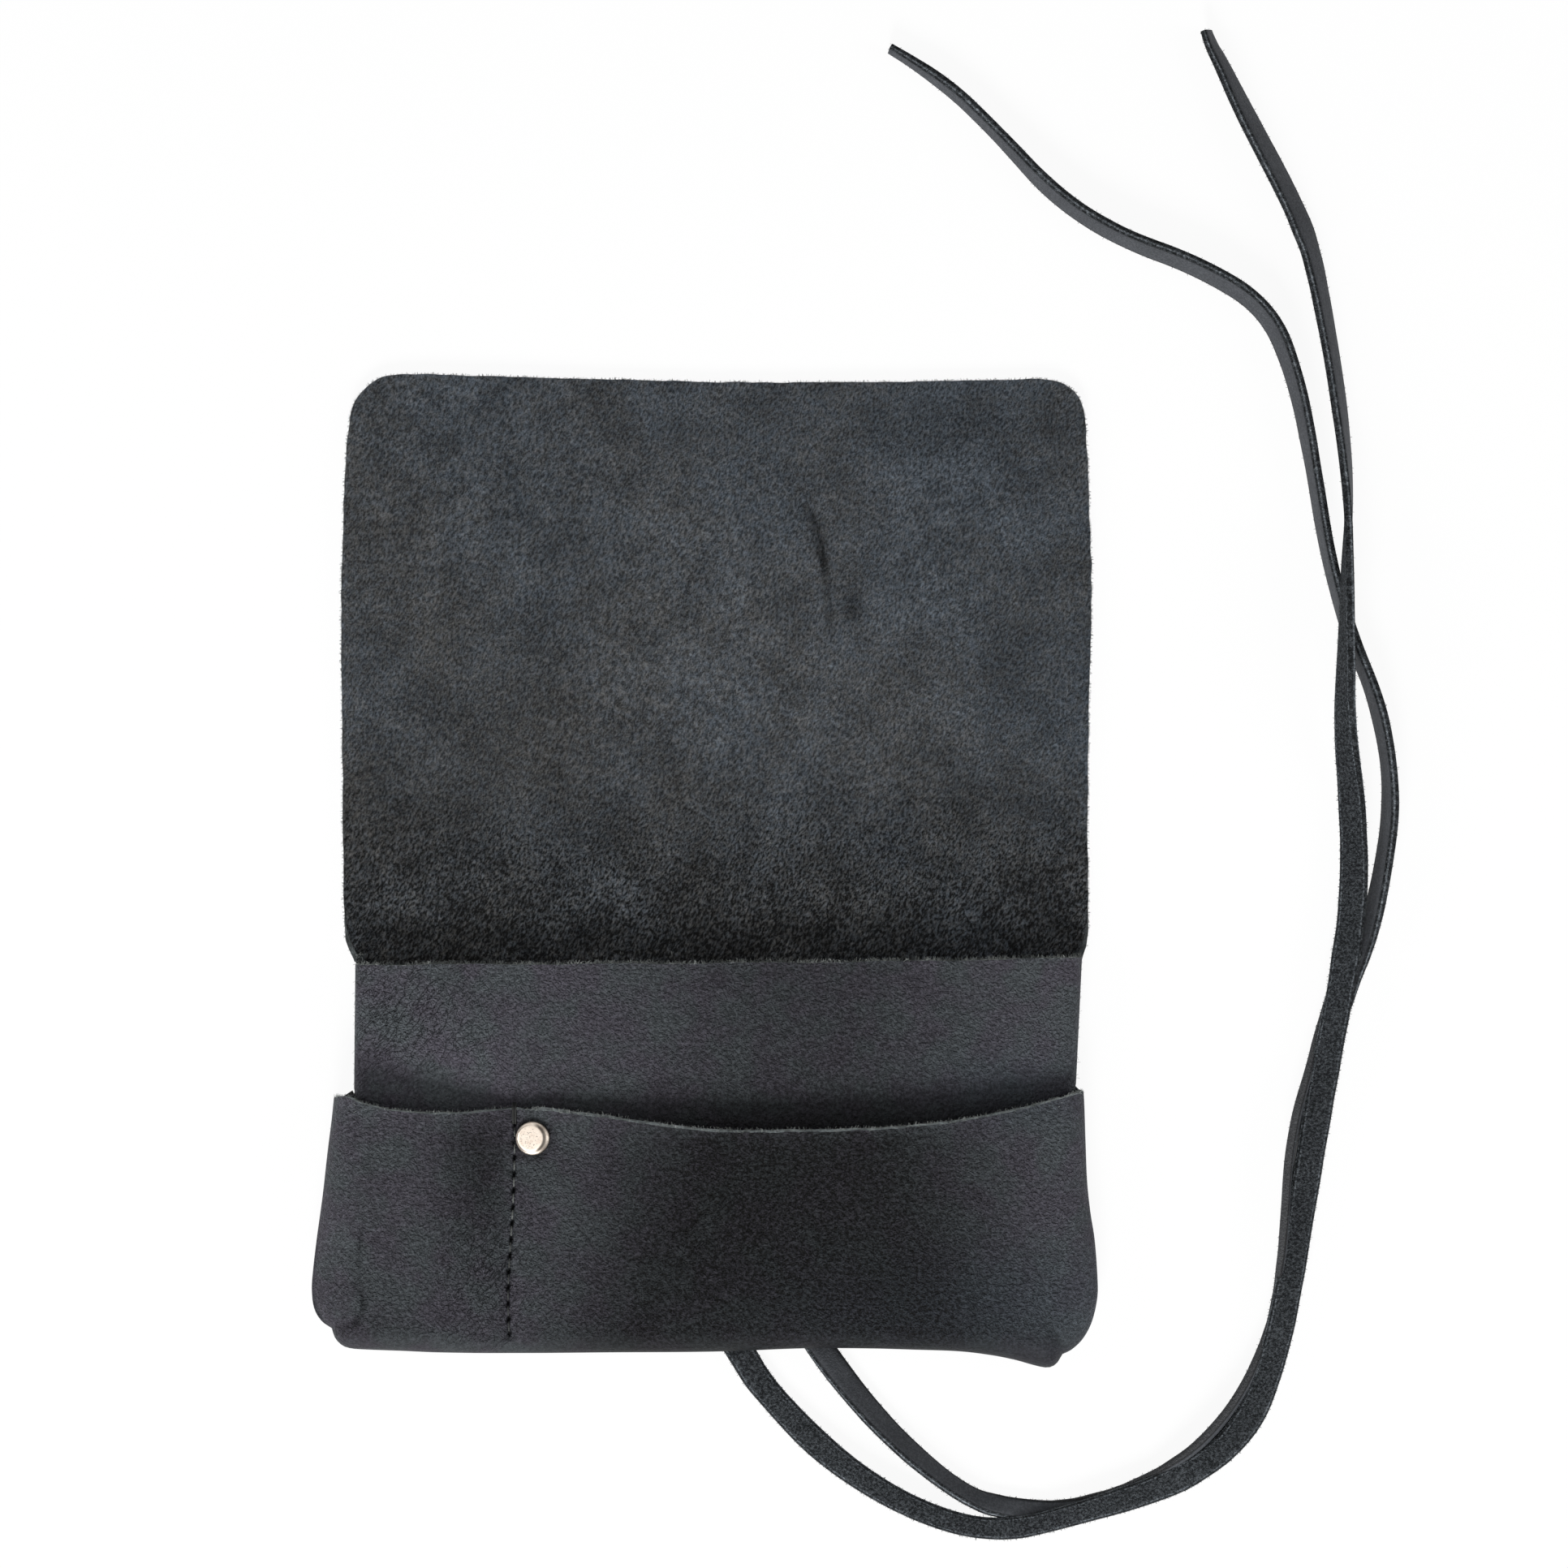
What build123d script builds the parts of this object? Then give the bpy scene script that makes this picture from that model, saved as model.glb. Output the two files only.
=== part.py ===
from build123d import *
from math import tan, radians
import os

# Leather wrap pouch, lying open. Millimetres. The origin is on the table, at mid-width, on the line where
# the flap's fold meets the back. +X is to the right, +Y runs along the open flap, +Z is up.

# Hide and the turned body
hide = 1.8                # thickness of the leather
body_depth = 94.5         # fold line to the bottom of the pouch
mouth_width = 175.4       # body at the fold line
mouth_length = 27.0       # how far down the body keeps that width
flare_length = 10.0       # then it widens to the pocket over this length
shoulder_bend = 14.0      # plan radius at both ends of the flare
corner_bend = 9.0         # plan radius of the bottom corners
shoulder_width = 182.0    # outer pocket at its mouth
belly_width = 191.0       # widest, near the bottom corners
foot_width = 175.0        # straight part of the bottom edge
lean = 2.9                # the belly sits this far to the left of the fold's middle
belly_height = 12.5       # from the bottom edge up to the widest place
main_gap = 5.2            # inside height of the main compartment
pocket_gap = 5.0          # inside height of the pocket's bays
fold_line = 2.0           # first hinge line of the flap, measured from the origin
fold_clearance = 1.5      # the turned sides and the front panel stop this far short of it
panel_hem = 5.4           # the front panel stops this far short of the bottom
edge_round = 3.9          # rounding of the turned sides
pocket_round = 6.5        # rounding of the pocket's upper sides
layer_gap = 0.1           # between two layers of hide in a seam
bay_overrun = 6.0         # the bays' curves run on this far outside the belly before they meet the panel

# Outer pocket
mouth_corner = 32.0       # fold line to the corners of the pocket's mouth
mouth_sag = 8.2           # how far the mouth dips at its middle
divider_x = -49.0         # stitched line between the two bays
divider_rise = 2.6        # the mouth lifts this much above its curve at the divider
valley_left = 3.0         # flat of the stitched valley, left of the divider
valley_right = 10.5       # flat of the stitched valley, right of the divider: it takes in the rivet

# Divider stitching
stitch_pitch = 4.0
thread = 0.5
stitch_hole = 1.1
stitch_leg = 1.4          # how far a stitch's ends reach into their holes
stitch_slack = 0.03       # half the gap between two stitches that share a hole
stitch_start = 39.5       # fold line to the first stitch hole

# Rivet
rivet_x = -43.9
rivet_drop = 42.0         # fold line to the rivet's centre
rivet_cap_d = 8.1
rivet_flat_d = 6.3
rivet_cap_h = 1.5
rivet_post_d = 2.6
rivet_post_clearance = 0.1
rivet_back_d = 6.6
rivet_back_h = 0.9

# Side seams, sewn inside out
seam_pitch = 5.0
seam_start = 8.0          # origin to the first seam stitch

# Flap
spine_length = 15.0       # fold line to the flap's own hinge line: the closed pouch's thickness
flap_length = 139.6       # fold line to the free edge
flap_width = 181.6
flap_corner = 10.5
neck_width = 176.0        # flap at the fold line
neck_length = 11.0        # where the flap reaches its full width

# Laces
lace_width = 6.6
lace_thick = 1.8
lace_lift = 0.1           # lace above the table
slit_length = 8.4
slit_width = 2.6
tail_length = 14.0        # flat end sewn down inside
pad_side = 34.0           # half the width of the raised pad that makes room for the laces
pad_top = 38.0            # fold line to the pad's upper end
pad_slope = 7.0           # length of the pad's sloping sides
tack_pitch = 4.0          # stitches that hold the lace tails
tack_inset = 2.0          # tail's end to its first stitch

# Worked-out levels
pad_height = lace_thick + 3 * lace_lift
panel_under = hide + main_gap
panel_top = panel_under + hide
seam_level = panel_top / 2
valley_top = panel_top + layer_gap + hide
bay_top = panel_top + pocket_gap + hide
lace_level = lace_lift + lace_thick / 2
lace_over = lace_level + lace_thick + 2 * lace_lift
far = 400.0

# The routes that the two laces take over the table, from their slits to their tips
outer_route = [
    (-20.0, -55.2, lace_level), (-4.5, -79, lace_level), (10.5, -101, lace_level), (28, -119.5, lace_level + 0.4),
    (48, -132, lace_over), (68, -137, lace_over), (90, -132.5, lace_over), (112, -124.5, lace_over),
    (127, -113, lace_over), (134.5, -93.5, lace_over), (139, -69, lace_over), (143, -46, lace_over),
    (147, -24, lace_over), (151, -4, lace_over), (154.3, 17, lace_over), (154, 38, lace_over), (151.6, 58, lace_over),
    (151.8, 76, lace_over), (152.3, 94, lace_over), (153, 114, lace_over), (150, 139, lace_level),
    (145.5, 163, lace_level), (138.5, 185, lace_level), (127.5, 206.5, lace_level), (118.6, 225.5, lace_level),
]
inner_route = [
    (-1.0, -54.2, lace_level), (13.5, -75.5, lace_level), (27.5, -96.5, lace_level), (43, -114.5, lace_level),
    (61, -129.5, lace_level), (83, -132.5, lace_level), (105, -126, lace_level), (122.5, -114.5, lace_level),
    (130.5, -96, lace_level), (135.5, -76, lace_level), (138.2, -52, lace_level), (140, -33, lace_level),
    (146, -16.5, lace_level), (155, -1, lace_level), (160.5, 18, lace_level), (163.2, 40, lace_level),
    (160.5, 62, lace_level), (153, 80, lace_level), (147.8, 99, lace_level), (144.5, 120, lace_level),
    (140.5, 141, lace_level), (133, 158, lace_level), (116.5, 168, lace_level), (97.5, 176, lace_level),
    (82, 186, lace_level), (68, 201, lace_level), (54, 214.5, lace_level), (42, 221.6, lace_level),
]


def slab(low, high):
    """A block between two opposite corners."""
    size = [b - a for a, b in zip(low, high)]
    return Pos(*low) * Box(*size, align=(Align.MIN, Align.MIN, Align.MIN))


def body_outline():
    """Plan of the turned body, carried on past the fold line so that it can be trimmed there."""
    beyond = fold_line + flare_length
    corners = [
        (-mouth_width / 2, beyond),
        (-mouth_width / 2, -mouth_length),
        (-shoulder_width / 2 - lean / 2, -mouth_length - flare_length),
        (-belly_width / 2 - lean, -body_depth + belly_height),
        (-foot_width / 2 - lean, -body_depth),
        (foot_width / 2 - lean, -body_depth),
        (belly_width / 2 - lean, -body_depth + belly_height),
        (shoulder_width / 2 - lean / 2, -mouth_length - flare_length),
        (mouth_width / 2, -mouth_length),
        (mouth_width / 2, beyond),
    ]
    side = [0, shoulder_bend, shoulder_bend, corner_bend, corner_bend]
    bends = side + side[::-1]
    return make_face(FilletPolyline(*corners, radius=bends, close=True))


def pillow(inset, low, high, round_low, round_high):
    """A block of the body's plan with rounded lower and upper edges."""
    plan = body_outline()
    if inset:
        plan = offset(plan, amount=-inset, kind=Kind.INTERSECTION)
    block = Pos(0, 0, low) * extrude(plan, amount=high - low)
    if round_low:
        block = fillet(block.faces().sort_by(Axis.Z)[0].edges(), round_low)
    if round_high:
        block = fillet(block.faces().sort_by(Axis.Z)[-1].edges(), round_high)
    return block


def lace_pad(level):
    """The raised place in the back that leaves room for the two laces beneath."""
    foot = Rectangle(2 * (pad_side + pad_slope), 2 * (body_depth - pad_top + pad_slope))
    top = Rectangle(2 * pad_side, 2 * (body_depth - pad_top))
    middle = (-lean, -body_depth)
    return loft([Pos(*middle, level) * foot, Pos(*middle, level + pad_height) * top])


def slit_frame(route):
    """A location at a lace's slit, where its route starts, with X along the lace that leaves it."""
    slit = Vector(*route[0][:2])
    ahead = Vector(*route[1][:2]) - slit
    return Location(Plane(origin=slit, x_dir=ahead, z_dir=(0, 0, 1)))


def back_panel():
    """Back of the pouch with the lower half of its turned sides and folded bottom."""
    outside = pillow(0, 0, 2 * seam_level, edge_round, 0)
    inside = pillow(hide, hide, 2 * seam_level, edge_round - hide, 0)
    shell = (outside - lace_pad(0)) - (inside - lace_pad(hide))
    shell = shell & slab((-far, -far, 0), (far, fold_line, seam_level))
    shell = shell - slab((-far, fold_line - fold_clearance, hide), (far, far, far))
    for route in (outer_route, inner_route):
        shell = shell - slit_frame(route) * Box(slit_width, slit_length, 4 * bay_top)
    return shell


def panel_shell(tuck):
    """A sheet with turned-down sides, drawn in from the body's plan by a tuck."""
    outside = pillow(tuck, 0, panel_top, 0, edge_round)
    inside = pillow(tuck + hide, 0, panel_under, 0, edge_round - hide)
    return outside - inside


def front_panel():
    """Separate panel between the two compartments; its sides are caught in the side seams."""
    tuck = hide + layer_gap
    step = -mouth_corner + layer_gap
    above = panel_shell(0) & slab((-far, step, seam_level), (far, fold_line - fold_clearance, far))
    below = panel_shell(tuck) & slab((-far, -body_depth + panel_hem, seam_level), (far, step, far))
    panel = above + below
    return panel - stitch_holes() - rivet_hole()


def bay_section(drop):
    """Section across the pocket: two bays that swell either side of the stitched valley."""
    left = -belly_width / 2 - lean - bay_overrun
    right = belly_width / 2 - lean + bay_overrun
    foot_left = divider_x - valley_left
    foot_right = divider_x + valley_right
    shoulder = panel_top + hide - drop
    top = bay_top - drop
    floor = valley_top - drop
    line = Polyline((left, shoulder), (left, -far), (right, -far), (right, shoulder))
    line += ThreePointArc((right, shoulder), ((foot_right + right) / 2, top), (foot_right, floor))
    line += Line((foot_right, floor), (foot_left, floor))
    line += ThreePointArc((foot_left, floor), ((foot_left + left) / 2, top), (left, shoulder))
    section = make_face(Plane.XZ * line)
    return extrude(section, amount=far, both=True)


def mouth_y(x):
    """The pocket's mouth is a shallow curve that dips between its two corners."""
    half = shoulder_width / 2
    along = (x + lean / 2) / half
    return -mouth_corner - mouth_sag * (1 - along * along)


def pocket_mouth():
    """Everything above the pocket's curved mouth, to be cut away."""
    half = shoulder_width / 2 + bay_overrun
    stations = [-half, (divider_x - half) / 2, divider_x, divider_x / 2, 0, half / 3, 2 * half / 3, half]
    points = [(x, mouth_y(x) + (divider_rise if x == divider_x else 0)) for x in stations]
    curve = Spline(*points)
    edge = Polyline(points[-1], (far, points[-1][1]), (far, far), (-far, far), (-far, points[0][1]), points[0])
    return extrude(make_face(curve + edge), amount=far)


def outer_pocket():
    """Outer pocket with the upper half of the turned sides and of the folded bottom."""
    outside = pillow(0, 0, bay_top, 0, pocket_round) & bay_section(0)
    inside = pillow(hide, 0, bay_top - hide, 0, pocket_round - hide) & bay_section(hide)
    shell = (outside - inside) & slab((-far, -far, seam_level), (far, far, far))
    return shell - pocket_mouth() - stitch_holes() - rivet_hole()


def stitch_y():
    """Places of the awl holes, down to where the bottom starts to turn."""
    rows = int((body_depth - pocket_round - stitch_start) / stitch_pitch) + 1
    return [-(stitch_start + row * stitch_pitch) for row in range(rows)]


def stitch_holes():
    """Awl holes down the divider, through the pocket and the front panel."""
    drill = Pos(0, 0, seam_level) * Cylinder(stitch_hole / 2, bay_top, align=(Align.CENTER, Align.CENTER, Align.MIN))
    return Part() + [Pos(divider_x, y) * drill for y in stitch_y()]


def staple(length, leg):
    """One visible stitch: a bar of thread whose ends turn down into their holes. It lies along Y."""
    bar = Pos(0, 0, thread / 2) * Rot(90, 0, 0) * Cylinder(thread / 2, length)
    down = Cylinder(thread / 2, leg + thread / 2, align=(Align.CENTER, Align.CENTER, Align.MAX))
    legs = [Pos(0, side * length / 2, thread / 2) * (down + Sphere(thread / 2)) for side in (-1, 1)]
    return bar + legs


def divider_stitches(level, side):
    """The row of stitches on one face of the divider; side is +1 above and -1 below."""
    shape = staple(stitch_pitch - thread - 2 * stitch_slack, stitch_leg)
    if side < 0:
        shape = Rot(0, 180, 0) * shape
    rows = stitch_y()
    return [Pos(divider_x, (a + b) / 2, level) * shape for a, b in zip(rows, rows[1:])]


def edge_stitch():
    """The last stitch, which wraps over the raw edge of the pocket's mouth."""
    half = thread / 2
    edge = mouth_y(divider_x) + divider_rise + layer_gap
    hole = -stitch_start + stitch_slack
    bar = slab((-half, hole, valley_top), (half, edge + thread, valley_top + thread))
    over = slab((-half, edge, panel_top), (half, edge + thread, valley_top))
    root = slab((-half, hole, valley_top - stitch_leg), (half, hole + thread, valley_top))
    return Pos(divider_x, 0, 0) * (bar + over + root)


def rivet_hole():
    drill = Cylinder(rivet_post_d / 2 + rivet_post_clearance, 4 * bay_top)
    return Pos(rivet_x, -rivet_drop, 0) * drill


def rivet_cap():
    """Flat-topped cap with a bevelled rim."""
    rim = rivet_cap_h - (rivet_cap_d - rivet_flat_d) / 2
    cap = Cylinder(rivet_cap_d / 2, rivet_cap_h, align=(Align.CENTER, Align.CENTER, Align.MIN))
    cap = chamfer(cap.edges().sort_by(Axis.Z)[-1], (rivet_cap_d - rivet_flat_d) / 2, rivet_cap_h - rim)
    cap = fillet(cap.edges().sort_by(Axis.Z)[-1], 0.3)
    return Pos(rivet_x, -rivet_drop, valley_top) * cap


def rivet_post():
    """Post that passes both layers, with the back cap under the front panel."""
    grip = valley_top - panel_under
    post = Cylinder(rivet_post_d / 2, grip, align=(Align.CENTER, Align.CENTER, Align.MIN))
    back = Cylinder(rivet_back_d / 2, rivet_back_h, align=(Align.CENTER, Align.CENTER, Align.MAX))
    back = fillet(back.edges().sort_by(Axis.Z)[0], 0.4)
    return Pos(rivet_x, -rivet_drop, panel_under) * (post + back)


def seam_stitches(side):
    """Stitches of one side seam, on the inside of the turned edge."""
    inner = offset(body_outline(), amount=-hide - thread / 2 - 2 * layer_gap, kind=Kind.INTERSECTION)
    bar = Rot(0, 90, 0) * Cylinder(thread / 2, seam_pitch - 2 * thread)
    level = seam_level - thread / 2 - layer_gap
    rows = []
    y = -seam_start
    while y > -body_depth + belly_height:
        upper = side_point(inner, side, y)
        lower = side_point(inner, side, y - seam_pitch)
        middle = (upper + lower) / 2
        along = (lower - upper).normalized()
        place = Location(Plane(origin=(middle.X, middle.Y, level), x_dir=along, z_dir=(0, 0, 1)))
        rows.append(place * bar)
        y -= seam_pitch
    return rows


def side_point(plan, side, y):
    """Where a plan's left (-1) or right (+1) side lies at a given distance down the body."""
    across = Edge.make_line((0, y, 0), (side * far, y, 0))
    hits = [across.intersect(edge) for edge in plan.edges()]
    points = [Vector(v.X, v.Y, 0) for hit in hits if hit for v in ShapeList(hit).vertices()]
    return points[0]


def fold_spine():
    """Neck of the hide that stands up as the pouch's back edge when the flap closes."""
    return flap_sheet() & slab((-far, fold_line, -1), (far, fold_line + spine_length, far))


def flap():
    return flap_sheet() & slab((-far, fold_line + spine_length, -1), (far, far, far))


def flap_sheet():
    """The flap and its neck as one flat sheet with rounded free corners."""
    half = flap_width / 2
    end = fold_line + flap_length
    corners = [
        (-neck_width / 2, fold_line), (-half, fold_line + neck_length), (-half, end),
        (half, end), (half, fold_line + neck_length), (neck_width / 2, fold_line),
    ]
    plan = make_face(FilletPolyline(*corners, radius=[0, 12, flap_corner, flap_corner, 12, 0], close=True))
    return extrude(plan, amount=hide)


def lace(route, name):
    """A flat lace laid along straight runs joined by tangent arcs."""
    points = [Vector(*p) for p in route]
    start = (points[1] - points[0]).normalized() * (lace_thick / 2)
    points[0] = points[0] + start
    runs = [b - a for a, b in zip(points, points[1:])]
    bends = []
    for one, two in zip(runs, runs[1:]):
        turn = one.get_angle(two)
        bends.append(0.45 * min(one.length, two.length) / tan(radians(turn / 2)))
    path = FilletPolyline(*points, radius=bends)
    ahead = runs[0].normalized()
    section = Plane(origin=points[0], x_dir=Vector(-ahead.Y, ahead.X, 0), z_dir=ahead)
    strip = sweep(section * Rectangle(lace_width, lace_thick), path=path)
    wanted = lace_width * lace_thick * path.length
    print(name, "length", round(path.length, 1), "volume share", round(strip.volume / wanted, 4))
    print(name, "radii", [round(r) for r in bends])
    return strip


def lace_root(route):
    """Inner end of a lace: it comes up through its slit and lies flat on the back panel's inside."""
    floor = pad_height + hide
    leg = slab((-lace_thick / 2, -lace_width / 2, lace_lift), (lace_thick / 2, lace_width / 2, floor + lace_thick))
    tail = slab((-tail_length, -lace_width / 2, floor), (0, lace_width / 2, floor + lace_thick))
    return slit_frame(route) * (leg + tail)


def lace_tacks(route):
    """Stitches that hold a lace's tail down."""
    top = pad_height + hide + lace_thick
    first = tack_inset - tail_length
    bar = Pos(0, 0, thread / 2) * Rot(90, 0, 0) * Cylinder(thread / 2, lace_width - 2 * thread)
    return [slit_frame(route) * Pos(first + step * tack_pitch, 0, top) * bar for step in range(3)]


def main():
    os.makedirs("parts", exist_ok=True)
    nodes = {
        "back_panel": back_panel(),
        "front_panel": front_panel(),
        "outer_pocket": outer_pocket(),
        "fold_spine": fold_spine(),
        "flap": flap(),
        "divider_stitches": divider_stitches(valley_top, 1) + [edge_stitch()],
        "divider_understitches": divider_stitches(panel_under, -1),
        "left_seam_stitches": seam_stitches(-1),
        "right_seam_stitches": seam_stitches(1),
        "rivet_cap": rivet_cap(),
        "rivet_post": rivet_post(),
        "outer_lace": lace(outer_route, "outer lace"),
        "inner_lace": lace(inner_route, "inner lace"),
        "outer_lace_root": lace_root(outer_route),
        "inner_lace_root": lace_root(inner_route),
        "lace_tack_stitches": lace_tacks(outer_route) + lace_tacks(inner_route),
    }
    for name, shape in nodes.items():
        if isinstance(shape, list):
            shape = Compound(children=shape)
        export_step(shape, f"parts/{name}.step")


main()
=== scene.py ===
import functools
import math

import bmesh
import bpy
import numpy as np
from mathutils.geometry import delaunay_2d_cdt
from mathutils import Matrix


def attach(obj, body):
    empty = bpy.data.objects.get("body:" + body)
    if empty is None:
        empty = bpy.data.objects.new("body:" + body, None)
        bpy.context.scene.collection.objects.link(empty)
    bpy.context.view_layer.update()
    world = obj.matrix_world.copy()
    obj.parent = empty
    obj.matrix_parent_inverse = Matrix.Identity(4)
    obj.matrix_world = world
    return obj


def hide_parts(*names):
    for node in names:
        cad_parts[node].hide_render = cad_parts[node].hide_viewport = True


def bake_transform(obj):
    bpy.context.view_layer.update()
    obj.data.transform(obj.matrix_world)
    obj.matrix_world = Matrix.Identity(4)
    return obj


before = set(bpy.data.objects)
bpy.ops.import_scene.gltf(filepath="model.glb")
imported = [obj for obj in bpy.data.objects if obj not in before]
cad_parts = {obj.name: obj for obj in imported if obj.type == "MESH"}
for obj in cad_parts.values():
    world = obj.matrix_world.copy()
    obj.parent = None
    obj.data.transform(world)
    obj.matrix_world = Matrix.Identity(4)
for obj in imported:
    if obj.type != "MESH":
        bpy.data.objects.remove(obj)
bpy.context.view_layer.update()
mm = 0.001


# ---- Camera, floor and light ------------------------------------------------------------------------------
# A pale table seen straight down through a long lens. The floor glows white to the camera and to reflections
# but keeps a faint shadow. A soft lamp stands past the pouch's bottom, with a weaker one at each side.
def arithmetic(operation, swapped=False):
    """A method that adds the Math node of one operation."""
    def method(value, *other):
        return value.maths(operation, *((*other, value) if swapped else (value, *other)))
    return method


class Value:
    """A socket's value in a node tree. Arithmetic on it adds Math nodes."""

    def __init__(self, tree, socket):
        self.tree = tree
        self.socket = socket

    def maths(self, operation, *terms):
        node = self.tree.nodes.new("ShaderNodeMath")
        node.operation = operation
        for place, term in enumerate(terms):
            if isinstance(term, Value):
                self.tree.links.new(term.socket, node.inputs[place])
            else:
                node.inputs[place].default_value = term
        return Value(self.tree, node.outputs[0])

    __add__ = __radd__ = arithmetic("ADD")
    __sub__ = arithmetic("SUBTRACT")
    __rsub__ = arithmetic("SUBTRACT", swapped=True)
    __mul__ = __rmul__ = arithmetic("MULTIPLY")
    __truediv__ = arithmetic("DIVIDE")
    __rtruediv__ = arithmetic("DIVIDE", swapped=True)
    __pow__ = arithmetic("POWER")
    __mod__ = arithmetic("MODULO")
    __abs__ = arithmetic("ABSOLUTE")
    larger = arithmetic("MAXIMUM")
    smaller = arithmetic("MINIMUM")

    def step(self, low, high):
        """0 below low, 1 above high and a soft rise between them."""
        node = self.tree.nodes.new("ShaderNodeMapRange")
        node.interpolation_type = "SMOOTHSTEP"
        self.tree.links.new(self.socket, node.inputs["Value"])
        node.inputs["From Min"].default_value = low
        node.inputs["From Max"].default_value = high
        return Value(self.tree, node.outputs["Result"])

    def band(self, start, full, fading, gone):
        """1 from full to fading, and a soft rise and fall on either side."""
        return self.step(start, full) * (1 - self.step(fading, gone))


class Finish:
    """The nodes of a new material, or of a new world, and the means to add to them."""

    family = "ShaderNode"

    def __init__(self, name, owners="materials"):
        self.owner = getattr(bpy.data, owners).new(name)
        self.owner.use_nodes = True
        self.tree = self.owner.node_tree
        self.tree.nodes.clear()

    def node(self, kind, settings=None, **inputs):
        """Adds a node. Its settings come first, then its sockets: _ is a space, and _2 the third socket.

        A socket takes a number, a colour, a value or another node's first output.
        """
        made = self.tree.nodes.new(self.family + kind)
        for key, value in (settings or {}).items():
            setattr(made, key, value)
        for key, value in inputs.items():
            socket = made.inputs[int(key[1:])] if key[0] == "_" else made.inputs[key.replace("_", " ")]
            if isinstance(value, bpy.types.Node):
                value = self.value(value)
            if isinstance(value, Value):
                self.tree.links.new(value.socket, socket)
            else:
                socket.default_value = value
        return made

    def value(self, made, output=0):
        return Value(self.tree, made.outputs[output])

    def place(self, attribute=None):
        """Where a point is: the vector, and x, y and z in mm. An attribute keeps it while the hide folds."""
        if attribute:
            vector = self.value(self.node("Attribute", {"attribute_name": attribute}), "Vector")
        else:
            vector = self.value(self.node("TexCoord"), "Object")
        split = self.node("SeparateXYZ", Vector=vector)
        return vector, *[self.value(split, axis) * 1000 for axis in "XYZ"]

    def noise(self, vector, size, detail=2.0, rough=0.5, stretch=None):
        """Smooth noise from 0 to 1 with spots of that many mm. Stretch is a slant, a length and a width."""
        if stretch:
            slant, *lengths = stretch
            vector = self.node("Mapping", {"vector_type": "TEXTURE"}, Vector=vector,
                               Rotation=(0, 0, math.radians(slant)), Scale=(*lengths, 1))
        made = self.node("TexNoise", Vector=vector, Scale=1000 / size, Detail=detail, Roughness=rough)
        return self.value(made, "Fac")

    def blend(self, factor, first, second):
        """Mixes two colours."""
        made = self.node("Mix", {"data_type": "RGBA"}, _0=factor, _6=first, _7=second)
        return self.value(made, 2)

    def scale(self, colour, factor):
        """A colour made lighter or darker."""
        return self.node("VectorMath", {"operation": "SCALE"}, _0=colour, Scale=factor)

    def bump(self, height, distance, strength):
        """Relief of a fine height from 0 to 1, that many millimetres deep."""
        return self.node("Bump", Height=height, Distance=distance * mm, Strength=strength)

    def open_rays(self):
        """1 on rays from the camera, from a reflection and through a clear body, 0 on the others."""
        paths = self.node("LightPath")
        seen = self.value(paths, "Is Camera Ray").larger(self.value(paths, "Is Glossy Ray"))
        return seen.larger(self.value(paths, "Is Transmission Ray"))

    def finish(self, **inputs):
        """Ends the material in one Principled surface."""
        self.node("OutputMaterial", Surface=self.node("BsdfPrincipled", **inputs))
        return self.owner


def placed(name, data):
    """A new object in the scene."""
    made = bpy.data.objects.new(name, data)
    bpy.context.scene.collection.objects.link(made)
    return made


view_x = 16.3 * mm
view_y = 43.3 * mm
view_width = 378.8 * mm
camera_rise = 1.2
leather_level = 6 * mm
lens = bpy.data.cameras.new("overhead")
lens.sensor_width = 36
lens.lens = lens.sensor_width * camera_rise / view_width
overhead = placed("overhead", lens)
overhead.location = (view_x, view_y, camera_rise + leather_level)
bpy.context.scene.camera = overhead

white = (1, 1, 1, 1)
floor_colour = (0.9, 0.9, 0.9, 1)
floor_glow = 0.93
floor_half = 2.0
floor_drop = 0.2 * mm
table = Finish("pale_table")
matt = table.node("BsdfDiffuse", Color=floor_colour)
glow = table.node("Emission", Color=white, Strength=1.0)
both = table.node("MixShader", _0=table.open_rays() * floor_glow, _1=matt, _2=glow)
table.node("OutputMaterial", Surface=both)
floor_mesh = bpy.data.meshes.new("floor")
corners = [(x * floor_half, y * floor_half, -floor_drop) for x, y in ((-1, -1), (1, -1), (1, 1), (-1, 1))]
floor_mesh.from_pydata(corners, [], [(0, 1, 2, 3)])
floor_mesh.materials.append(table.owner)
floor = placed("floor", floor_mesh)

room_strength = 0.27
room = Finish("room", "worlds")
dim = room.node("Background", Color=white, Strength=room_strength)
bright = room.node("Background", Color=white, Strength=1.0)
both = room.node("MixShader", _0=room.open_rays(), _1=dim, _2=bright)
room.node("OutputWorld", Surface=both)
bpy.context.scene.world = room.owner
bpy.context.scene.view_settings.view_transform = "Standard"


def lamp(name, place, size, watts):
    """A square soft lamp that faces the pouch."""
    light = bpy.data.lights.new(name, "AREA")
    light.shape = "SQUARE"
    light.size = size
    light.energy = watts
    holder = placed(name, light)
    holder.location = place
    holder.rotation_euler = holder.location.to_track_quat("Z", "Y").to_euler()


lamp("soft_front_lamp", (-0.2, -1.5, 1.0), 0.6, 40)
lamp("soft_left_lamp", (-1.4, 0.05, 0.65), 0.7, 9)
lamp("soft_right_lamp", (1.4, 0.0, 0.65), 0.7, 8)


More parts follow.
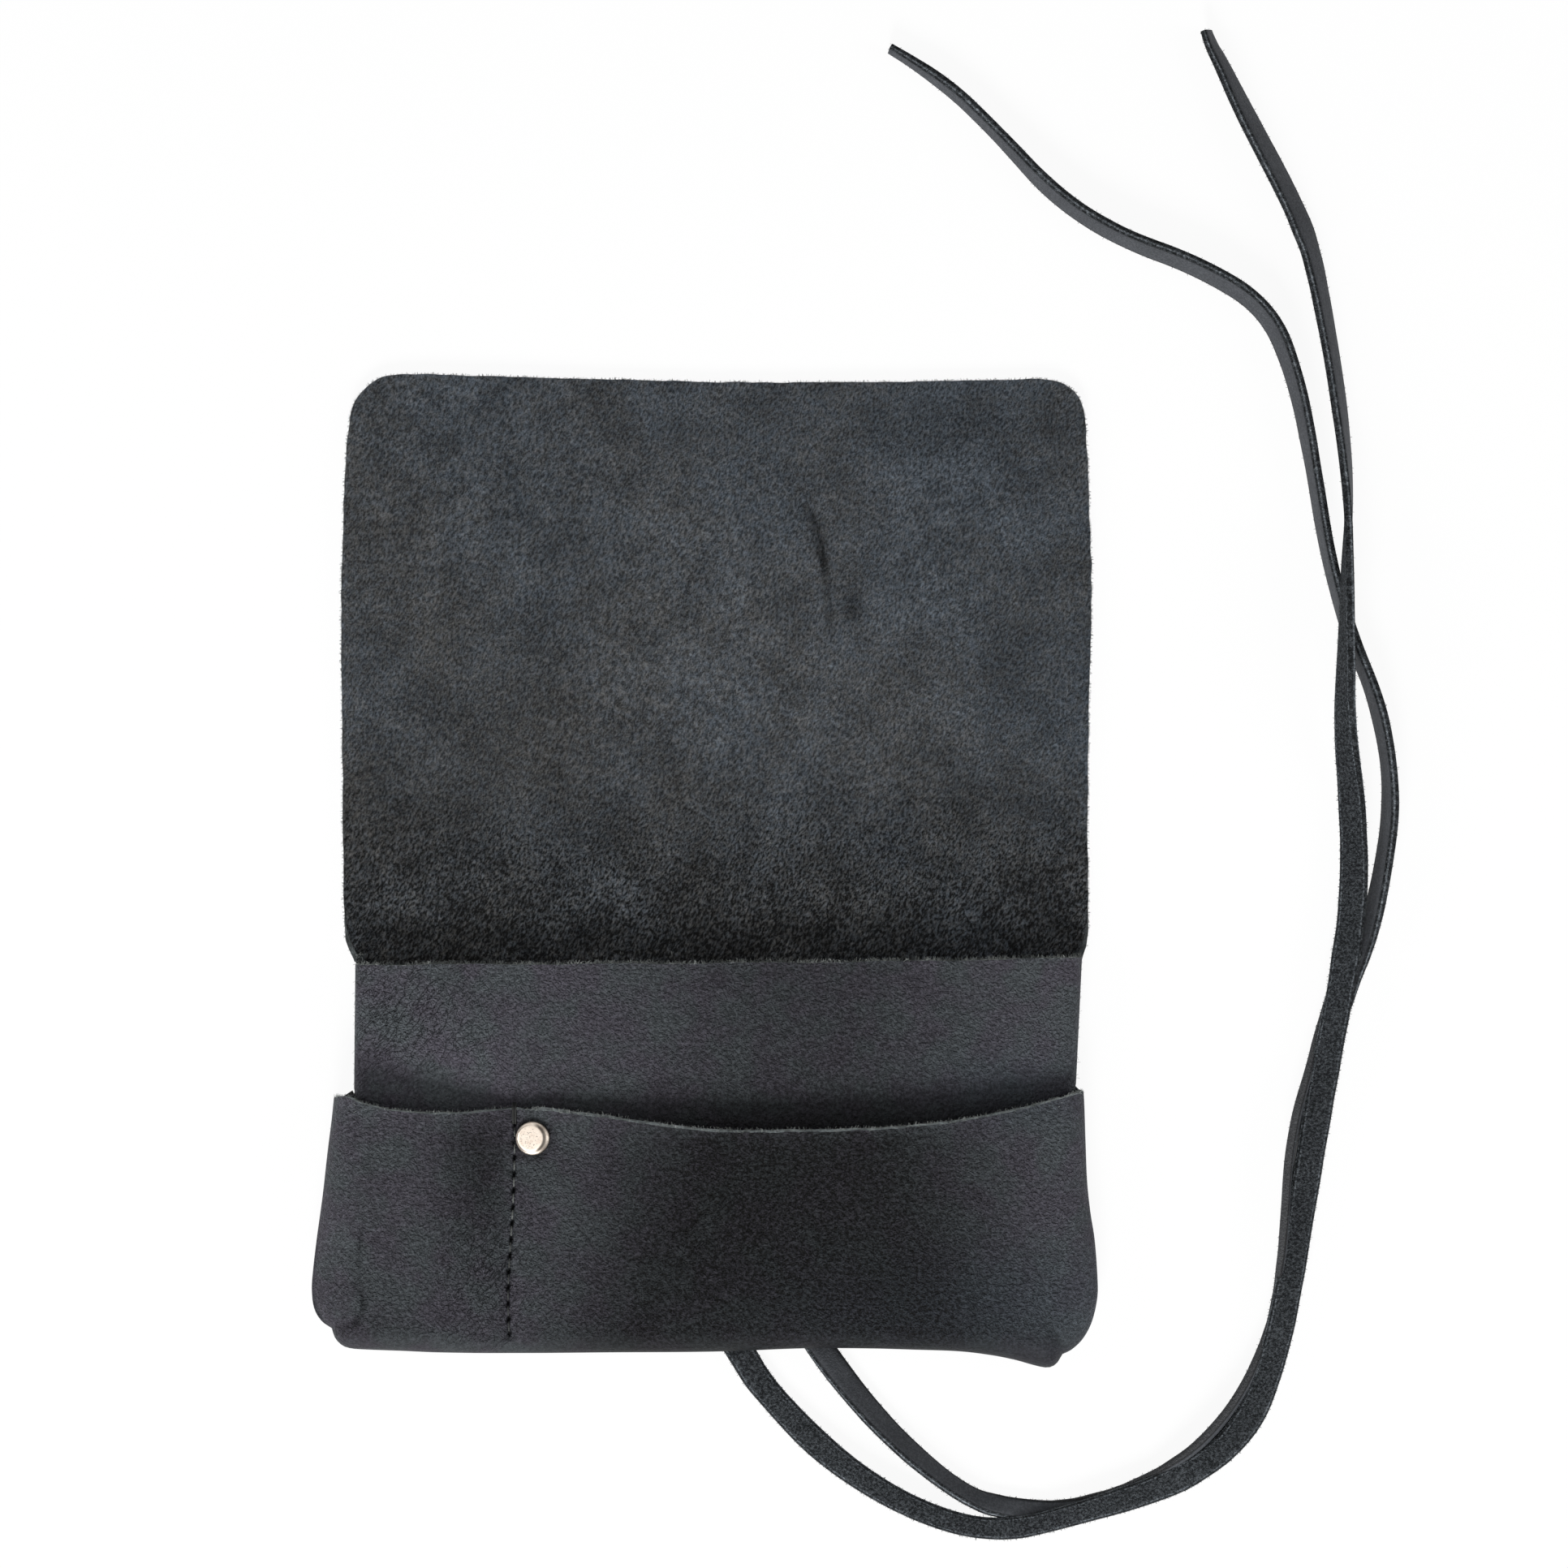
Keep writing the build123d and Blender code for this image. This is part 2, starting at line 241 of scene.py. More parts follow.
# ---- Laces ------------------------------------------------------------------------------------------------
# Two flat laces cut from the same black hide, each one a free strip with its grain on one face, suede on the
# other and two cut edges with loose fibres. They come out under the pouch's bottom and twist over the table.
def smooth_curve(name, runs):
    """A curve of smooth runs, each one drawn towards its points in millimetres and through its two ends."""
    curve = bpy.data.curves.new(name, "CURVE")
    curve.dimensions = "3D"
    for points in runs:
        run = curve.splines.new("NURBS")
        run.points.add(len(points) - 1)
        for point, place in zip(run.points, points):
            point.co = (*[value * mm for value in place], 1)
        run.order_u = 3
        run.use_endpoint_u = True
    return curve


def settled(holder):
    """The plain mesh that an object has once its curve or its modifiers are worked out."""
    return bpy.data.meshes.new_from_object(holder.evaluated_get(bpy.context.evaluated_depsgraph_get()))


def curve_mesh(curve):
    """The mesh of a curve."""
    holder = placed(curve.name, curve)
    mesh = settled(holder)
    bpy.data.objects.remove(holder)
    return mesh


def places_of(mesh):
    """The places of a mesh's vertices in millimetres."""
    return np.array([vertex.co for vertex in mesh.vertices]) / mm


def centreline(name, points):
    """Points along a smooth line, in millimetres, that runs near the given ones."""
    curve = smooth_curve(name, [points])
    curve.resolution_u = 14
    return places_of(curve_mesh(curve))


def along(line):
    """Distance from a line's start to each of its points."""
    return np.concatenate([[0], np.cumsum(np.linalg.norm(np.diff(line, axis=0), axis=1))])


def soften(values, reach):
    """A running mean over that many neighbours on each side, taken twice, with the ends held."""
    window = np.ones(2 * reach + 1) / (2 * reach + 1)
    for _ in range(2):
        padded = np.concatenate([[values[0]] * reach, values, [values[-1]] * reach])
        values = np.convolve(padded, window, "valid")
    return values


def unit(ways):
    """Directions made one long."""
    return ways / np.linalg.norm(ways, axis=1)[:, None]


def new_piece(name, points, faces, materials):
    """A smooth-shaded mesh object from points in millimetres."""
    mesh = bpy.data.meshes.new(name)
    mesh.from_pydata((np.asarray(points) * mm).tolist(), [], [tuple(int(i) for i in face) for face in faces])
    mesh.polygons.foreach_set("use_smooth", [True] * len(mesh.polygons))
    for material in materials:
        mesh.materials.append(material)
    return placed(name, mesh)


def tube_faces(rings, places):
    """Faces between closed rings of points."""
    faces = []
    for i in range(rings - 1):
        for k in range(places):
            j = (k + 1) % places
            faces.append((i * places + k, (i + 1) * places + k, (i + 1) * places + j, i * places + j))
    return faces


class Growth(Finish):
    """A geometry tree, built with the same calls as a material, that grows small parts on a mesh."""

    family = ""
    kinds = {float: "NodeSocketFloat", int: "NodeSocketInt", bpy.types.Material: "NodeSocketMaterial"}

    def __init__(self, name, **inputs):
        self.tree = bpy.data.node_groups.new(name, "GeometryNodeTree")
        self.tree.interface.new_socket("Geometry", in_out="INPUT", socket_type="NodeSocketGeometry")
        for label, kind in inputs.items():
            self.tree.interface.new_socket(label, in_out="INPUT", socket_type=self.kinds[kind])
        self.tree.interface.new_socket("Geometry", in_out="OUTPUT", socket_type="NodeSocketGeometry")
        self.group_input = self.tree.nodes.new("NodeGroupInput")

    def given(self, label):
        return Value(self.tree, self.group_input.outputs[label])

    def point(self, x=0.0, y=0.0, z=0.0):
        return self.node("ShaderNodeCombineXYZ", X=x, Y=y, Z=z)

    def strand(self, start, middle, end, width, sides, steps):
        """A thin bent tube between two points."""
        line = self.node("GeometryNodeCurveQuadraticBezier", Resolution=steps, Start=start, Middle=middle,
                         End=end)
        ring = self.node("GeometryNodeCurvePrimitiveCircle", Resolution=sides, Radius=width * 0.5)
        return self.node("GeometryNodeCurveToMesh", Curve=line, Profile_Curve=ring, Fill_Caps=True)

    def done(self, instances, with_source):
        """Real geometry with the given material, beside the mesh that it grows on or alone."""
        real = self.node("GeometryNodeRealizeInstances", Geometry=instances)
        coated = self.node("GeometryNodeSetMaterial", Geometry=real, Material=self.given("Material"))
        join = self.node("GeometryNodeJoinGeometry")
        self.tree.links.new(coated.outputs[0], join.inputs[0])
        if with_source:
            self.tree.links.new(self.given("Geometry").socket, join.inputs[0])
        result = self.tree.nodes.new("NodeGroupOutput")
        self.tree.links.new(join.outputs[0], result.inputs[0])

    def grow(self, piece, **inputs):
        """Runs the tree on a piece and leaves the result as the piece's plain mesh."""
        modifier = piece.modifiers.new("growth", "NODES")
        modifier.node_group = self.tree
        for item in self.tree.interface.items_tree:
            if item.in_out == "INPUT" and item.name in inputs:
                modifier[item.identifier] = inputs[item.name]
        mesh = settled(piece)
        piece.modifiers.clear()
        for slot in reversed(range(len(mesh.materials))):
            if mesh.materials[slot] is None:
                mesh.materials.pop(index=slot)
        piece.data = mesh
        mesh.name = piece.name


cut_slot = 1        # the cut edges' place among a piece's materials
lean = 1.1          # how far a fibre tips from upright, in radians
spin = 3.1          # and how far it turns about itself
fuzz = Growth("edge_fuzz", Density=float, Length=float, Width=float, Seed=int, Material=bpy.types.Material)
rim = fuzz.node("FunctionNodeCompare", {"data_type": "INT", "operation": "EQUAL"},
                _2=fuzz.node("GeometryNodeInputMaterialIndex"), _3=cut_slot)
scatter = fuzz.node("GeometryNodeDistributePointsOnFaces", Mesh=fuzz.given("Geometry"), Selection=rim,
                    Density=fuzz.given("Density"), Seed=fuzz.given("Seed"))
reach = fuzz.given("Length")
hair = fuzz.strand(fuzz.point(z=reach * -0.2), fuzz.point(x=reach * 0.1, z=reach * 0.5),
                   fuzz.point(x=reach * 0.6, y=reach * 0.15, z=reach * 0.7), fuzz.given("Width"), 3, 3)
tilt = fuzz.node("FunctionNodeRandomValue", {"data_type": "FLOAT_VECTOR"}, _0=(-lean, -lean, -spin),
                 _1=(lean, lean, spin), Seed=fuzz.given("Seed") + 1)
size = fuzz.node("FunctionNodeRandomValue", {"data_type": "FLOAT"}, _2=0.35, _3=1.3,
                 Seed=fuzz.given("Seed") + 2)
turned_way = fuzz.node("FunctionNodeRotateRotation", {"rotation_space": "LOCAL"},
                       Rotation=fuzz.value(scatter, "Rotation"), Rotate_By=tilt)
hairs = fuzz.node("GeometryNodeInstanceOnPoints", Points=scatter, Instance=hair, Rotation=turned_way,
                  Scale=fuzz.value(size, 1))
fuzz.done(hairs, with_source=True)


def fibre(name, dull, bright):
    """Finish of the loose fibres on a cut edge."""
    fluff = Finish(name)
    shade = fluff.noise(fluff.place()[0], 6, 2, 0.6)
    base = fluff.blend(shade.step(0.3, 0.7), (*dull, 1), (*bright, 1))
    return fluff.finish(Base_Color=base, Roughness=0.8, Specular_IOR_Level=0.2,
                        Normal=fluff.bump(shade, 0.05, 0.3))


# Two copies of the same fibres: the pale one on the pouch's upper edges, the dark one on the flap and laces,
# lower down; the difference between them is painted light and shade.
hide_fibre = fibre("hide_fibre", (0.10, 0.11, 0.105), (0.5, 0.53, 0.51))
dark_fibre = fibre("dark_hide_fibre", (0.012, 0.013, 0.014), (0.09, 0.10, 0.10))

lace_thick = 2.0
lace_corner = 0.4
lace_wander = 0.2         # how far its cut edges stray
tip_thick = 0.75          # share of the thickness at the tip, where it is pared down
tip_slope = 45            # millimetres in which that share would grow by one
face_points = 0.34        # where a face's two inner points lie, as a share of half its width
# Points round a lace, as shares of its half width and half thickness: 4 on each face and 2 on each cut edge.
lace_ring = [(1, 1), (face_points, 1), (-face_points, 1), (-1, 1), (-1, 1), (-1, -1),
             (-1, -1), (-face_points, -1), (face_points, -1), (1, -1), (1, -1), (1, 1)]
lace_places = len(lace_ring)
half_ring = lace_places // 2
edge_start = 3            # of a half ring: the last three faces belong to a cut edge
mid_edge = 4.5            # the middle of a cut edge


def ribbon(name, rows, material, seed):
    """A flat lace along rows of x, y, z, turn in degrees and width. A turn lifts its right-hand edge."""
    rows = np.array(rows)
    line = centreline(name + "_route", rows[:, :3])
    reach = along(line)
    nearest = [np.argmin(np.linalg.norm(line - row, axis=1)) for row in rows[:, :3]]
    turn = np.radians(soften(np.interp(reach, reach[nearest], rows[:, 3]), 7))
    wide = soften(np.interp(reach, reach[nearest], rows[:, 4]), 5)
    draw = np.random.default_rng(seed)
    half = wide / 2 + lace_wander * soften(draw.normal(0, 1, len(line)), 2)
    ahead = unit(np.gradient(line, axis=0))
    right = unit(np.cross(ahead, (0, 0, 1)))
    up = np.cross(right, ahead)
    across = np.cos(turn)[:, None] * right + np.sin(turn)[:, None] * up
    face = -np.sin(turn)[:, None] * right + np.cos(turn)[:, None] * up
    thick = lace_thick / 2 * np.clip(tip_thick + (reach[-1] - reach) / tip_slope, 0, 1)
    points = []
    for place, (side, level) in enumerate(lace_ring):
        on_edge = place % half_ring > edge_start
        sideways = side * half if on_edge or abs(side) < 1 else side * (half - lace_corner)
        upwards = level * (thick - lace_corner) if on_edge else level * thick
        points.append(line + across * sideways[:, None] + face * upwards[:, None])
    points = np.stack(points, axis=1)
    last = (len(line) - 1) * lace_places
    faces = tube_faces(len(line), lace_places)
    faces += [tuple(range(lace_places)), tuple(last + k for k in reversed(range(lace_places)))]
    marks = [[(a, k), (b, k), (b, k + 1), (a, k + 1)]
             for a, b in zip(reach, reach[1:]) for k in range(lace_places)]
    marks += [[(end, mid_edge)] * lace_places for end in (reach[0], reach[-1])]
    piece = new_piece(name, points.reshape(-1, 3), faces, [material, material, dark_fibre])
    ring_slots = [cut_slot * (k % half_ring >= edge_start) for k in range(lace_places)]
    piece.data.polygons.foreach_set("material_index", ring_slots * (len(line) - 1) + [cut_slot, cut_slot])
    layer = piece.data.uv_layers.new(name="run")
    layer.data.foreach_set("uv", np.ravel([(u * mm, v / lace_places) for face in marks for u, v in face]))
    fuzz.grow(piece, Density=2.2e6, Length=0.45 * mm, Width=0.09 * mm, Seed=seed, Material=dark_fibre)
    return piece, line


def lace_leather(name, suede_first):
    """Lace finish: grain on one face, suede on the other, and cut edges with a pale line, partly paler fibres
    and partly a painted highlight.
    """
    dye = Finish(name)
    spot = dye.place()[0]
    run = dye.node("SeparateXYZ", Vector=dye.node("UVMap", {"uv_map": "run"}))
    round_it = dye.value(run, "Y") * lace_places
    upper = 1 - round_it.step(2.9, 3.1)
    lower = round_it.band(5.9, 6.1, 8.9, 9.1)
    cut = (1 - upper - lower).larger(0)
    rough_side, grain_side = (upper, lower) if suede_first else (lower, upper)
    nap = dye.noise(spot, 0.6, 2, 0.8).step(0.34, 0.72)
    cloud = dye.noise(spot, 12, 3, 0.6)
    across = round_it % half_ring
    to_border = abs(across.smaller(edge_start - across))
    border = to_border.band(0.04, 0.14, 0.16, 0.34)
    # A light line along each cut edge: partly paler fibres, partly a painted highlight.
    to_streak = abs(across - (4.05 if suede_first else 4.9))
    streak = 1 - to_streak.step(0.06, 0.42)
    frayed = dye.noise(spot, 1.1, 3, 0.8).step(0.42, 0.66)

    suede_tone = dye.blend(nap, (0.006, 0.007, 0.008, 1), (0.072, 0.080, 0.088, 1))
    suede_tone = dye.scale(suede_tone, (0.55 + 0.6 * cloud) * (1 + 1.5 * border))
    grain_tone = dye.blend(nap, (0.040, 0.043, 0.048, 1), (0.066, 0.070, 0.078, 1))
    grain_tone = dye.scale(grain_tone, (0.7 + 0.6 * cloud) * (0.4 + 0.6 * to_border.step(0.05, 0.3)))
    cut_tone = dye.blend(nap, (0.030, 0.034, 0.038, 1), (0.100, 0.110, 0.120, 1))
    cut_tone = dye.scale(cut_tone, 0.16 + 0.75 * frayed + 2.3 * streak * (0.5 + 0.5 * frayed))
    if not suede_first:      # this lace's left edge is burnished smooth
        burnished = round_it.band(2.9, 3.1, 5.9, 6.1)
        smooth_tone = dye.blend(nap, (0.050, 0.051, 0.054, 1), (0.068, 0.070, 0.074, 1))
        # On the burnished edge the painted highlight runs along the same line, with the rest darker.
        smooth_tone = dye.scale(smooth_tone, 1 - 0.6 * to_streak.step(1.0, 1.6))
        cut_tone = dye.blend(burnished, cut_tone, smooth_tone)
    skin = dye.blend(rough_side, dye.blend(cut, grain_tone, cut_tone), suede_tone)
    relief = dye.bump(nap * (1 - 0.75 * grain_side), 0.35, 0.7)
    return dye.finish(Base_Color=skin, Roughness=0.9 - 0.3 * grain_side, Specular_IOR_Level=0.1,
                      Normal=relief)


outer_lace_leather = lace_leather("black_lace_suede_up", True)
inner_lace_leather = lace_leather("black_lace_grain_up", False)

outer_rows = [      # x, y, z, turn and seen width
    (-20, -55.2, 1.0, 0, 6.6), (-4.2, -79.4, 1.0, 0, 6.6), (6.3, -95.0, 1.1, 0, 6.6),
    (10.6, -102.6, 1.1, 0, 6.6), (27.4, -120.2, 1.9, 0, 6.4), (47.7, -132.8, 3.0, 0, 5.5),
    (68, -138.4, 3.1, 0, 5.0), (90, -132.7, 3.1, 0, 5.5), (112.5, -125.3, 3.5, -3, 6.6),
    (127.9, -113.7, 3.7, -5, 6.9), (135.5, -93.8, 4.0, -4, 6.6), (140.0, -69.2, 4.2, -6, 6.6),
    (143.7, -46.2, 3.7, -5, 6.6), (147.4, -24.1, 4.3, 1, 6.6), (151.4, -4, 5.2, 8, 6.6),
    (154.4, 17, 4.4, 14, 6.8), (154, 38, 3.4, 32, 6.8), (151.6, 58, 6.0, 55, 6.6),
    (151.8, 76, 9.8, 72, 6.6), (151.9, 94, 10.0, 82, 6.6), (152.9, 114, 5.2, 105, 6.6),
    (150.3, 139, 3.6, 119, 6.8), (146.0, 163, 3.5, 121, 6.7), (143.3, 174.5, 3.3, 132, 6.9),
    (138.4, 186, 3.2, 133, 6.9), (127.5, 206.5, 3.1, 128, 6.6), (121.9, 218.5, 2.6, 122, 5.6),
    (119.7, 222.4, 2.5, 118, 5.4), (118.6, 225.8, 2.4, 114, 4.9),
]
outer_lace, outer_line = ribbon("outer_lace_strip", outer_rows, outer_lace_leather, 3)
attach(outer_lace, "pouch")
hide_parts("outer_lace")

inner_rows = [
    (-1, -54.2, 1.0, 0, 6.6), (13.5, -75.5, 1.0, 0, 6.6), (27.1, -96.8, 1.9, 22, 6.6),
    (42.4, -115, 2.9, 43, 6.4), (60.3, -129.6, 2.8, 47, 5.1), (71.5, -132.6, 1.7, 22, 5.1),
    (84, -133.3, 1.1, 2, 5.4), (95, -131.0, 1.2, -2, 6.0), (104.2, -127.6, 1.6, -14, 6.2),
    (114.4, -120.3, 3.0, -56, 6.6), (123.2, -110.8, 3.4, -68, 6.6), (130.6, -99.9, 3.0, -62, 6.6),
    (136.9, -87.5, 1.8, -12, 6.6), (138.2, -74.6, 2.8, -46, 6.6), (137.9, -61.1, 3.5, -79, 6.6),
    (138.6, -47.8, 3.5, -76, 6.6), (141.0, -35.6, 3.4, -73, 6.6), (145.8, -24, 2.6, -44, 6.6),
    (149.4, -13.5, 1.4, -4, 6.6), (152.8, -3.5, 2.2, 30, 6.6), (157.3, 6, 2.9, 52, 6.6),
    (160.6, 18, 3.4, 68, 6.6), (163.9, 40, 3.4, 72, 6.6), (160.6, 62, 3.4, 75, 6.6),
    (153, 80, 3.4, 78, 6.6), (147.8, 99, 3.4, 78, 6.6), (144.5, 120, 3.4, 76, 6.6),
    (140.5, 141, 3.4, 70, 6.6), (133.6, 158.5, 3.4, 64, 6.6), (116.8, 168.7, 3.4, 66, 6.6),
    (97.3, 175.7, 3.4, 67, 6.6), (81.8, 185.7, 3.2, 69, 6.2), (68, 201, 2.8, 73, 5.2),
    (54, 214.5, 2.4, 74, 5.0), (42, 221.6, 1.7, 74, 3.0),
]
inner_lace, inner_line = ribbon("inner_lace_strip", inner_rows, inner_lace_leather, 5)
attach(inner_lace, "pouch")
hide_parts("inner_lace")


# ---- Leather finishes -------------------------------------------------------------------------------------
# The hide is black through, a little blue in places: a matt fine-pebbled grain outside, a mottled nap on the
# flesh side, and cut edges whose fibres are paler. One hide makes every panel, so the finishes are shared,
# painted shade and light included.
def spread(x, y, at_x, at_y, reach_x, reach_y):
    """A soft round patch, 1 at its middle, on a material's x and y."""
    far_x = (x - at_x) / reach_x
    far_y = (y - at_y) / reach_y
    return 1 / (1 + (far_x * far_x + far_y * far_y) ** 1.5)


def strongest(x, y, patches):
    """The largest of several soft patches, each given by its strength, its middle and its reach."""
    found = [strength * spread(x, y, *patch) for strength, *patch in patches]
    return functools.reduce(Value.larger, found)


smooth = Finish("black_smooth_leather")
spot, x, y, _ = smooth.place("flat_place")
cloud = smooth.noise(spot, 30, 3, 0.6)
patch = smooth.noise(spot, 9, 2, 0.5)
speck = smooth.noise(spot, 0.85, 2, 0.8).step(0.32, 0.68)
pebble = smooth.node("TexVoronoi", {"feature": "DISTANCE_TO_EDGE"}, Vector=spot, Scale=1000 / 1.3,
                     Randomness=1.0)
pebble = smooth.value(pebble, "Distance").step(0.0, 0.22)
slant = smooth.noise(spot, 2.6, 2, 0.55, (52, 1.7, 0.62))
creases = 1 - (abs(slant - 0.5) / 0.035).smaller(1)
creases = creases * strongest(x, y, [(1, -76, -12, 20, 16), (1, -56, -72, 9, 16), (0.7, 6, -63, 20, 12)])
on_pocket = 1 - y.step(-44, -30)
on_panel = 1 - on_pocket
on_top = y.step(-94, -86) * 0.75 + 0.25

# Painted shade and light: the pocket's middle is in painted shade, its sides lighter as a sheen would make
# them, and the panel darker in its middle. The turned bottom, the creases and the panel just above the mouth
# get painted shade, and the panel's left end by the mouth painted light. The pocket is also lighter along its
# bottom, and darker at its bottom-left corner and just under the mouth.
from_left = (x - 0.45 * (y + 42)).step(-44, 5) * x.step(-50, -44)
from_right = 1 - (x + 0.35 * (y + 42)).step(32, 84)
pocket_shade = 0.79 * from_left ** 1.25 * from_right + 0.62 * spread(x, y, -57, -42, 8, 22)
tone = (1 - pocket_shade.smaller(1) * on_pocket) * (1 - 0.52 * spread(x, y, 22, -12, 37, 60) * on_panel)
tone = tone * (1 - 0.5 * (1 - y.step(-96, -84))) * (1 - 0.3 * spread(x, y, -84, -86, 12, 12))
tone = tone * (0.50 + 0.42 * cloud + 0.46 * patch) * (0.80 + 0.40 * speck) * (1.11 - 0.06 * on_pocket)
sides = (1 - spread(x, y, -93, -60, 7, 40)) * (1 - spread(x, y, 90, -50, 8, 20))
tone = tone * (1 - 0.14 * on_pocket * sides) * (1 - 0.42 * creases)
light_and_shadow_by_mouth = 0.32 * spread(x, y, -74, -28, 22, 8) - 0.55 * spread(x, y, 15, -38, 60, 6)
by_foot = 0.28 * spread(x, y, 20, -91, 60, 9) - 0.12 * spread(x, y, -70, -88, 14, 8)
tone = tone * (1 + light_and_shadow_by_mouth * on_panel) * (1 + (by_foot - 0.26 * spread(x, y, 15, -48, 40, 8)) * on_pocket)
tone = tone + 0.34 * on_top * (speck - 0.5)

base = smooth.blend(patch.step(0.35, 0.65), (0.056, 0.053, 0.065, 1), (0.050, 0.056, 0.061, 1))
worn_blue = strongest(x, y, [(0.7, 58, -82, 34, 13), (0.5, 70, -30, 16, 8)])
base = smooth.blend(worn_blue, base, (0.046, 0.056, 0.068, 1))
# Painted shade in the awl holes, the creases and round the rivet, and painted shadow on the panel above the
# mouth.
painted_recess_shade = smooth.value(smooth.node("Attribute", {"attribute_name": "recess_shade"}), "Fac")
base = smooth.scale(base, tone * (1 - 0.97 * painted_recess_shade.smaller(1)))
relief = smooth.bump((pebble * 0.7 + speck * 0.9) * on_top - creases * 2.2, 0.26, 1.0)
smooth_leather = smooth.finish(Base_Color=base, Roughness=0.55 + 0.15 * cloud, Specular_IOR_Level=0.09,
                               Normal=relief)

suede = Finish("black_suede")
spot, x, y, _ = suede.place("flat_place")
cloud = suede.noise(spot, 38, 3, 0.6)
mottle = suede.noise(spot, 11, 4, 0.65)
brushed = suede.noise(spot, 2.2, 2, 0.6)
nap = suede.noise(spot, 0.67, 3, 0.8, (62, 1.6, 0.9)).step(0.3, 0.7)
tint = suede.noise(spot, 1.7, 3, 0.8)
near_fold = 1 - y.step(0, 48)

# A bent vein with a smudge beside it, the dark strip along the fold and the soft dark spots. The strip is
# partly a darker, coarser nap and partly painted shadow of the pouch's body, which stands above the flap at
# the fold.
from_tip = 112 - y
vein = ((x - 20.9 - 9.6 * from_tip / (from_tip + 14)) / 1.2) ** 2
vein = 1 / (1 + vein * vein) * (0.4 * y.step(76, 81) + 0.6 * y.step(91, 98)) * (1 - y.step(109, 113))
vein = vein * (0.45 + 1.1 * mottle.step(0.3, 0.6))
smudge = spread(x, y, 33, 86, 2.8, 4.4)
marked = (1 - 0.12 * spread(x, y, -62, 34, 44, 40)) * (1 - 0.55 * vein) * (1 - 0.60 * smudge)
tone = 0.36 + 0.84 * cloud + 0.62 * mottle.step(0.25, 0.75)
tone = tone * (0.71 - 0.45 * near_fold + (0.58 + 0.9 * near_fold) * brushed)
tone = tone * (1 + 0.30 * spread(x, y, 8, 84, 66, 36)) * (1 - 0.16 * y.band(6, 18, 34, 52))
tone = tone * (1 - 0.44 * near_fold) * marked * (1 + (0.70 + 0.5 * near_fold) * (2 * nap - 1))
dark_spots = strongest(x, y, [
    (0.30, -5, 12, 10, 11), (0.22, -27, 32, 8, 8), (0.26, -40, 80, 10, 19), (0.26, 73, 19, 8, 8),
    (0.24, 71, 74, 9, 9), (0.20, 62, 132, 12, 6), (0.14, -62, 62, 16, 14)])
dark_spots = dark_spots * (0.55 + 0.9 * mottle) - near_fold * 0.55 * (mottle.step(0.3, 0.7) - 0.5)
tone = tone * (1.05 - dark_spots) + (0.18 + 0.90 * near_fold) * (nap - 0.5)
hue = tint.step(0.38, 0.62) * 0.5 + cloud.step(0.35, 0.65) * 0.35 + (x * 0.0015 + y * 0.002)
base = suede.blend(hue.larger(0).smaller(1), (0.062, 0.061, 0.059, 1), (0.047, 0.056, 0.067, 1))
base = suede.scale(base, tone.larger(0.05))
suede_leather = suede.finish(Base_Color=base, Roughness=0.93, Specular_IOR_Level=0.12,
                             Normal=suede.bump(nap + brushed * 0.8, 0.6, 0.9))


def raw_edge(name, painted_light):
    """Cut edge of the hide, with paler fibres in streaks; one copy is painted brighter from 4 to 9 mm up, as
    if lit.
    """
    edge = Finish(name)
    spot, _, _, z = edge.place()
    fibre = edge.noise(spot, 0.45, 3, 0.8)
    streak = edge.noise(spot, 2.2, 3, 0.7).step(0.3, 0.7)
    # Painted light: on the lit copy the edge grows brighter from 4 to 9 mm above the table.
    shade = 0.24 + 1.5 * z.step(4, 9) if painted_light else 0.25
    base = edge.blend(fibre.step(0.25, 0.75), (0.055, 0.062, 0.066, 1), (0.34, 0.38, 0.39, 1))
    base = edge.scale(base, (0.4 + 1.0 * streak) * shade)
    return edge.finish(Base_Color=base, Roughness=0.9, Specular_IOR_Level=0.15,
                       Normal=edge.bump(fibre, 0.4, 0.8))


# The lit copy is for the pouch's upper edges, the dim one for the flap's edges down on the table.
cut_edge = raw_edge("painted_lit_cut_edge", True)
dark_edge = raw_edge("dark_cut_edge", False)

hide = 1.8          # how thick it is
hide_finishes = [smooth_leather, cut_edge, suede_leather, hide_fibre]


# ---- Back, folded bottom and outer pocket -----------------------------------------------------------------
# One strip of hide makes the back, turns up at the bottom and comes back over the front as the pocket. Its
# sides are sewn inside out and turned, so they bulge, and the bottom's two corners poke out past the fold.
def smooth_line(points, step, corners=()):
    """A curve through points, sampled evenly; it turns sharply only at the points whose places are given."""
    points = np.array(points, float)
    stops = [0, *corners, len(points) - 1]
    runs = []
    for first, last in zip(stops, stops[1:]):
        run = points[first:last + 1]
        run = np.vstack([2 * run[0] - run[1], run, 2 * run[-1] - run[-2]])
        dense = []
        for a, b, c, d in zip(run, run[1:], run[2:], run[3:]):
            for t in np.linspace(0, 1, 24, endpoint=False):
                dense.append(0.5 * (2 * b + (c - a) * t + (2 * a - 5 * b + 4 * c - d) * t ** 2
                                    + (3 * b - a - 3 * c + d) * t ** 3))
        dense.append(run[-2])
        dense = np.array(dense)
        reach = along(dense[:, :2])
        count = max(2, int(round(reach[-1] / step)) + 1)
        places = np.linspace(0, reach[-1], count)
        even = np.stack([np.interp(places, reach, dense[:, k]) for k in range(dense.shape[1])], axis=1)
        runs.append(even if not runs else even[1:])
    return np.vstack(runs)


def gap_to(points, line):
    """Distance from each point to an open line."""
    near = np.full(len(points), 1e9)
    for a, b in zip(line[:-1], line[1:]):
        run = b - a
        t = np.clip(((points - a) @ run) / (run @ run), 0, 1)
        near = np.minimum(near, np.linalg.norm(points - a - t[:, None] * run, axis=1))
    return near


clear_of_edge = 0.28


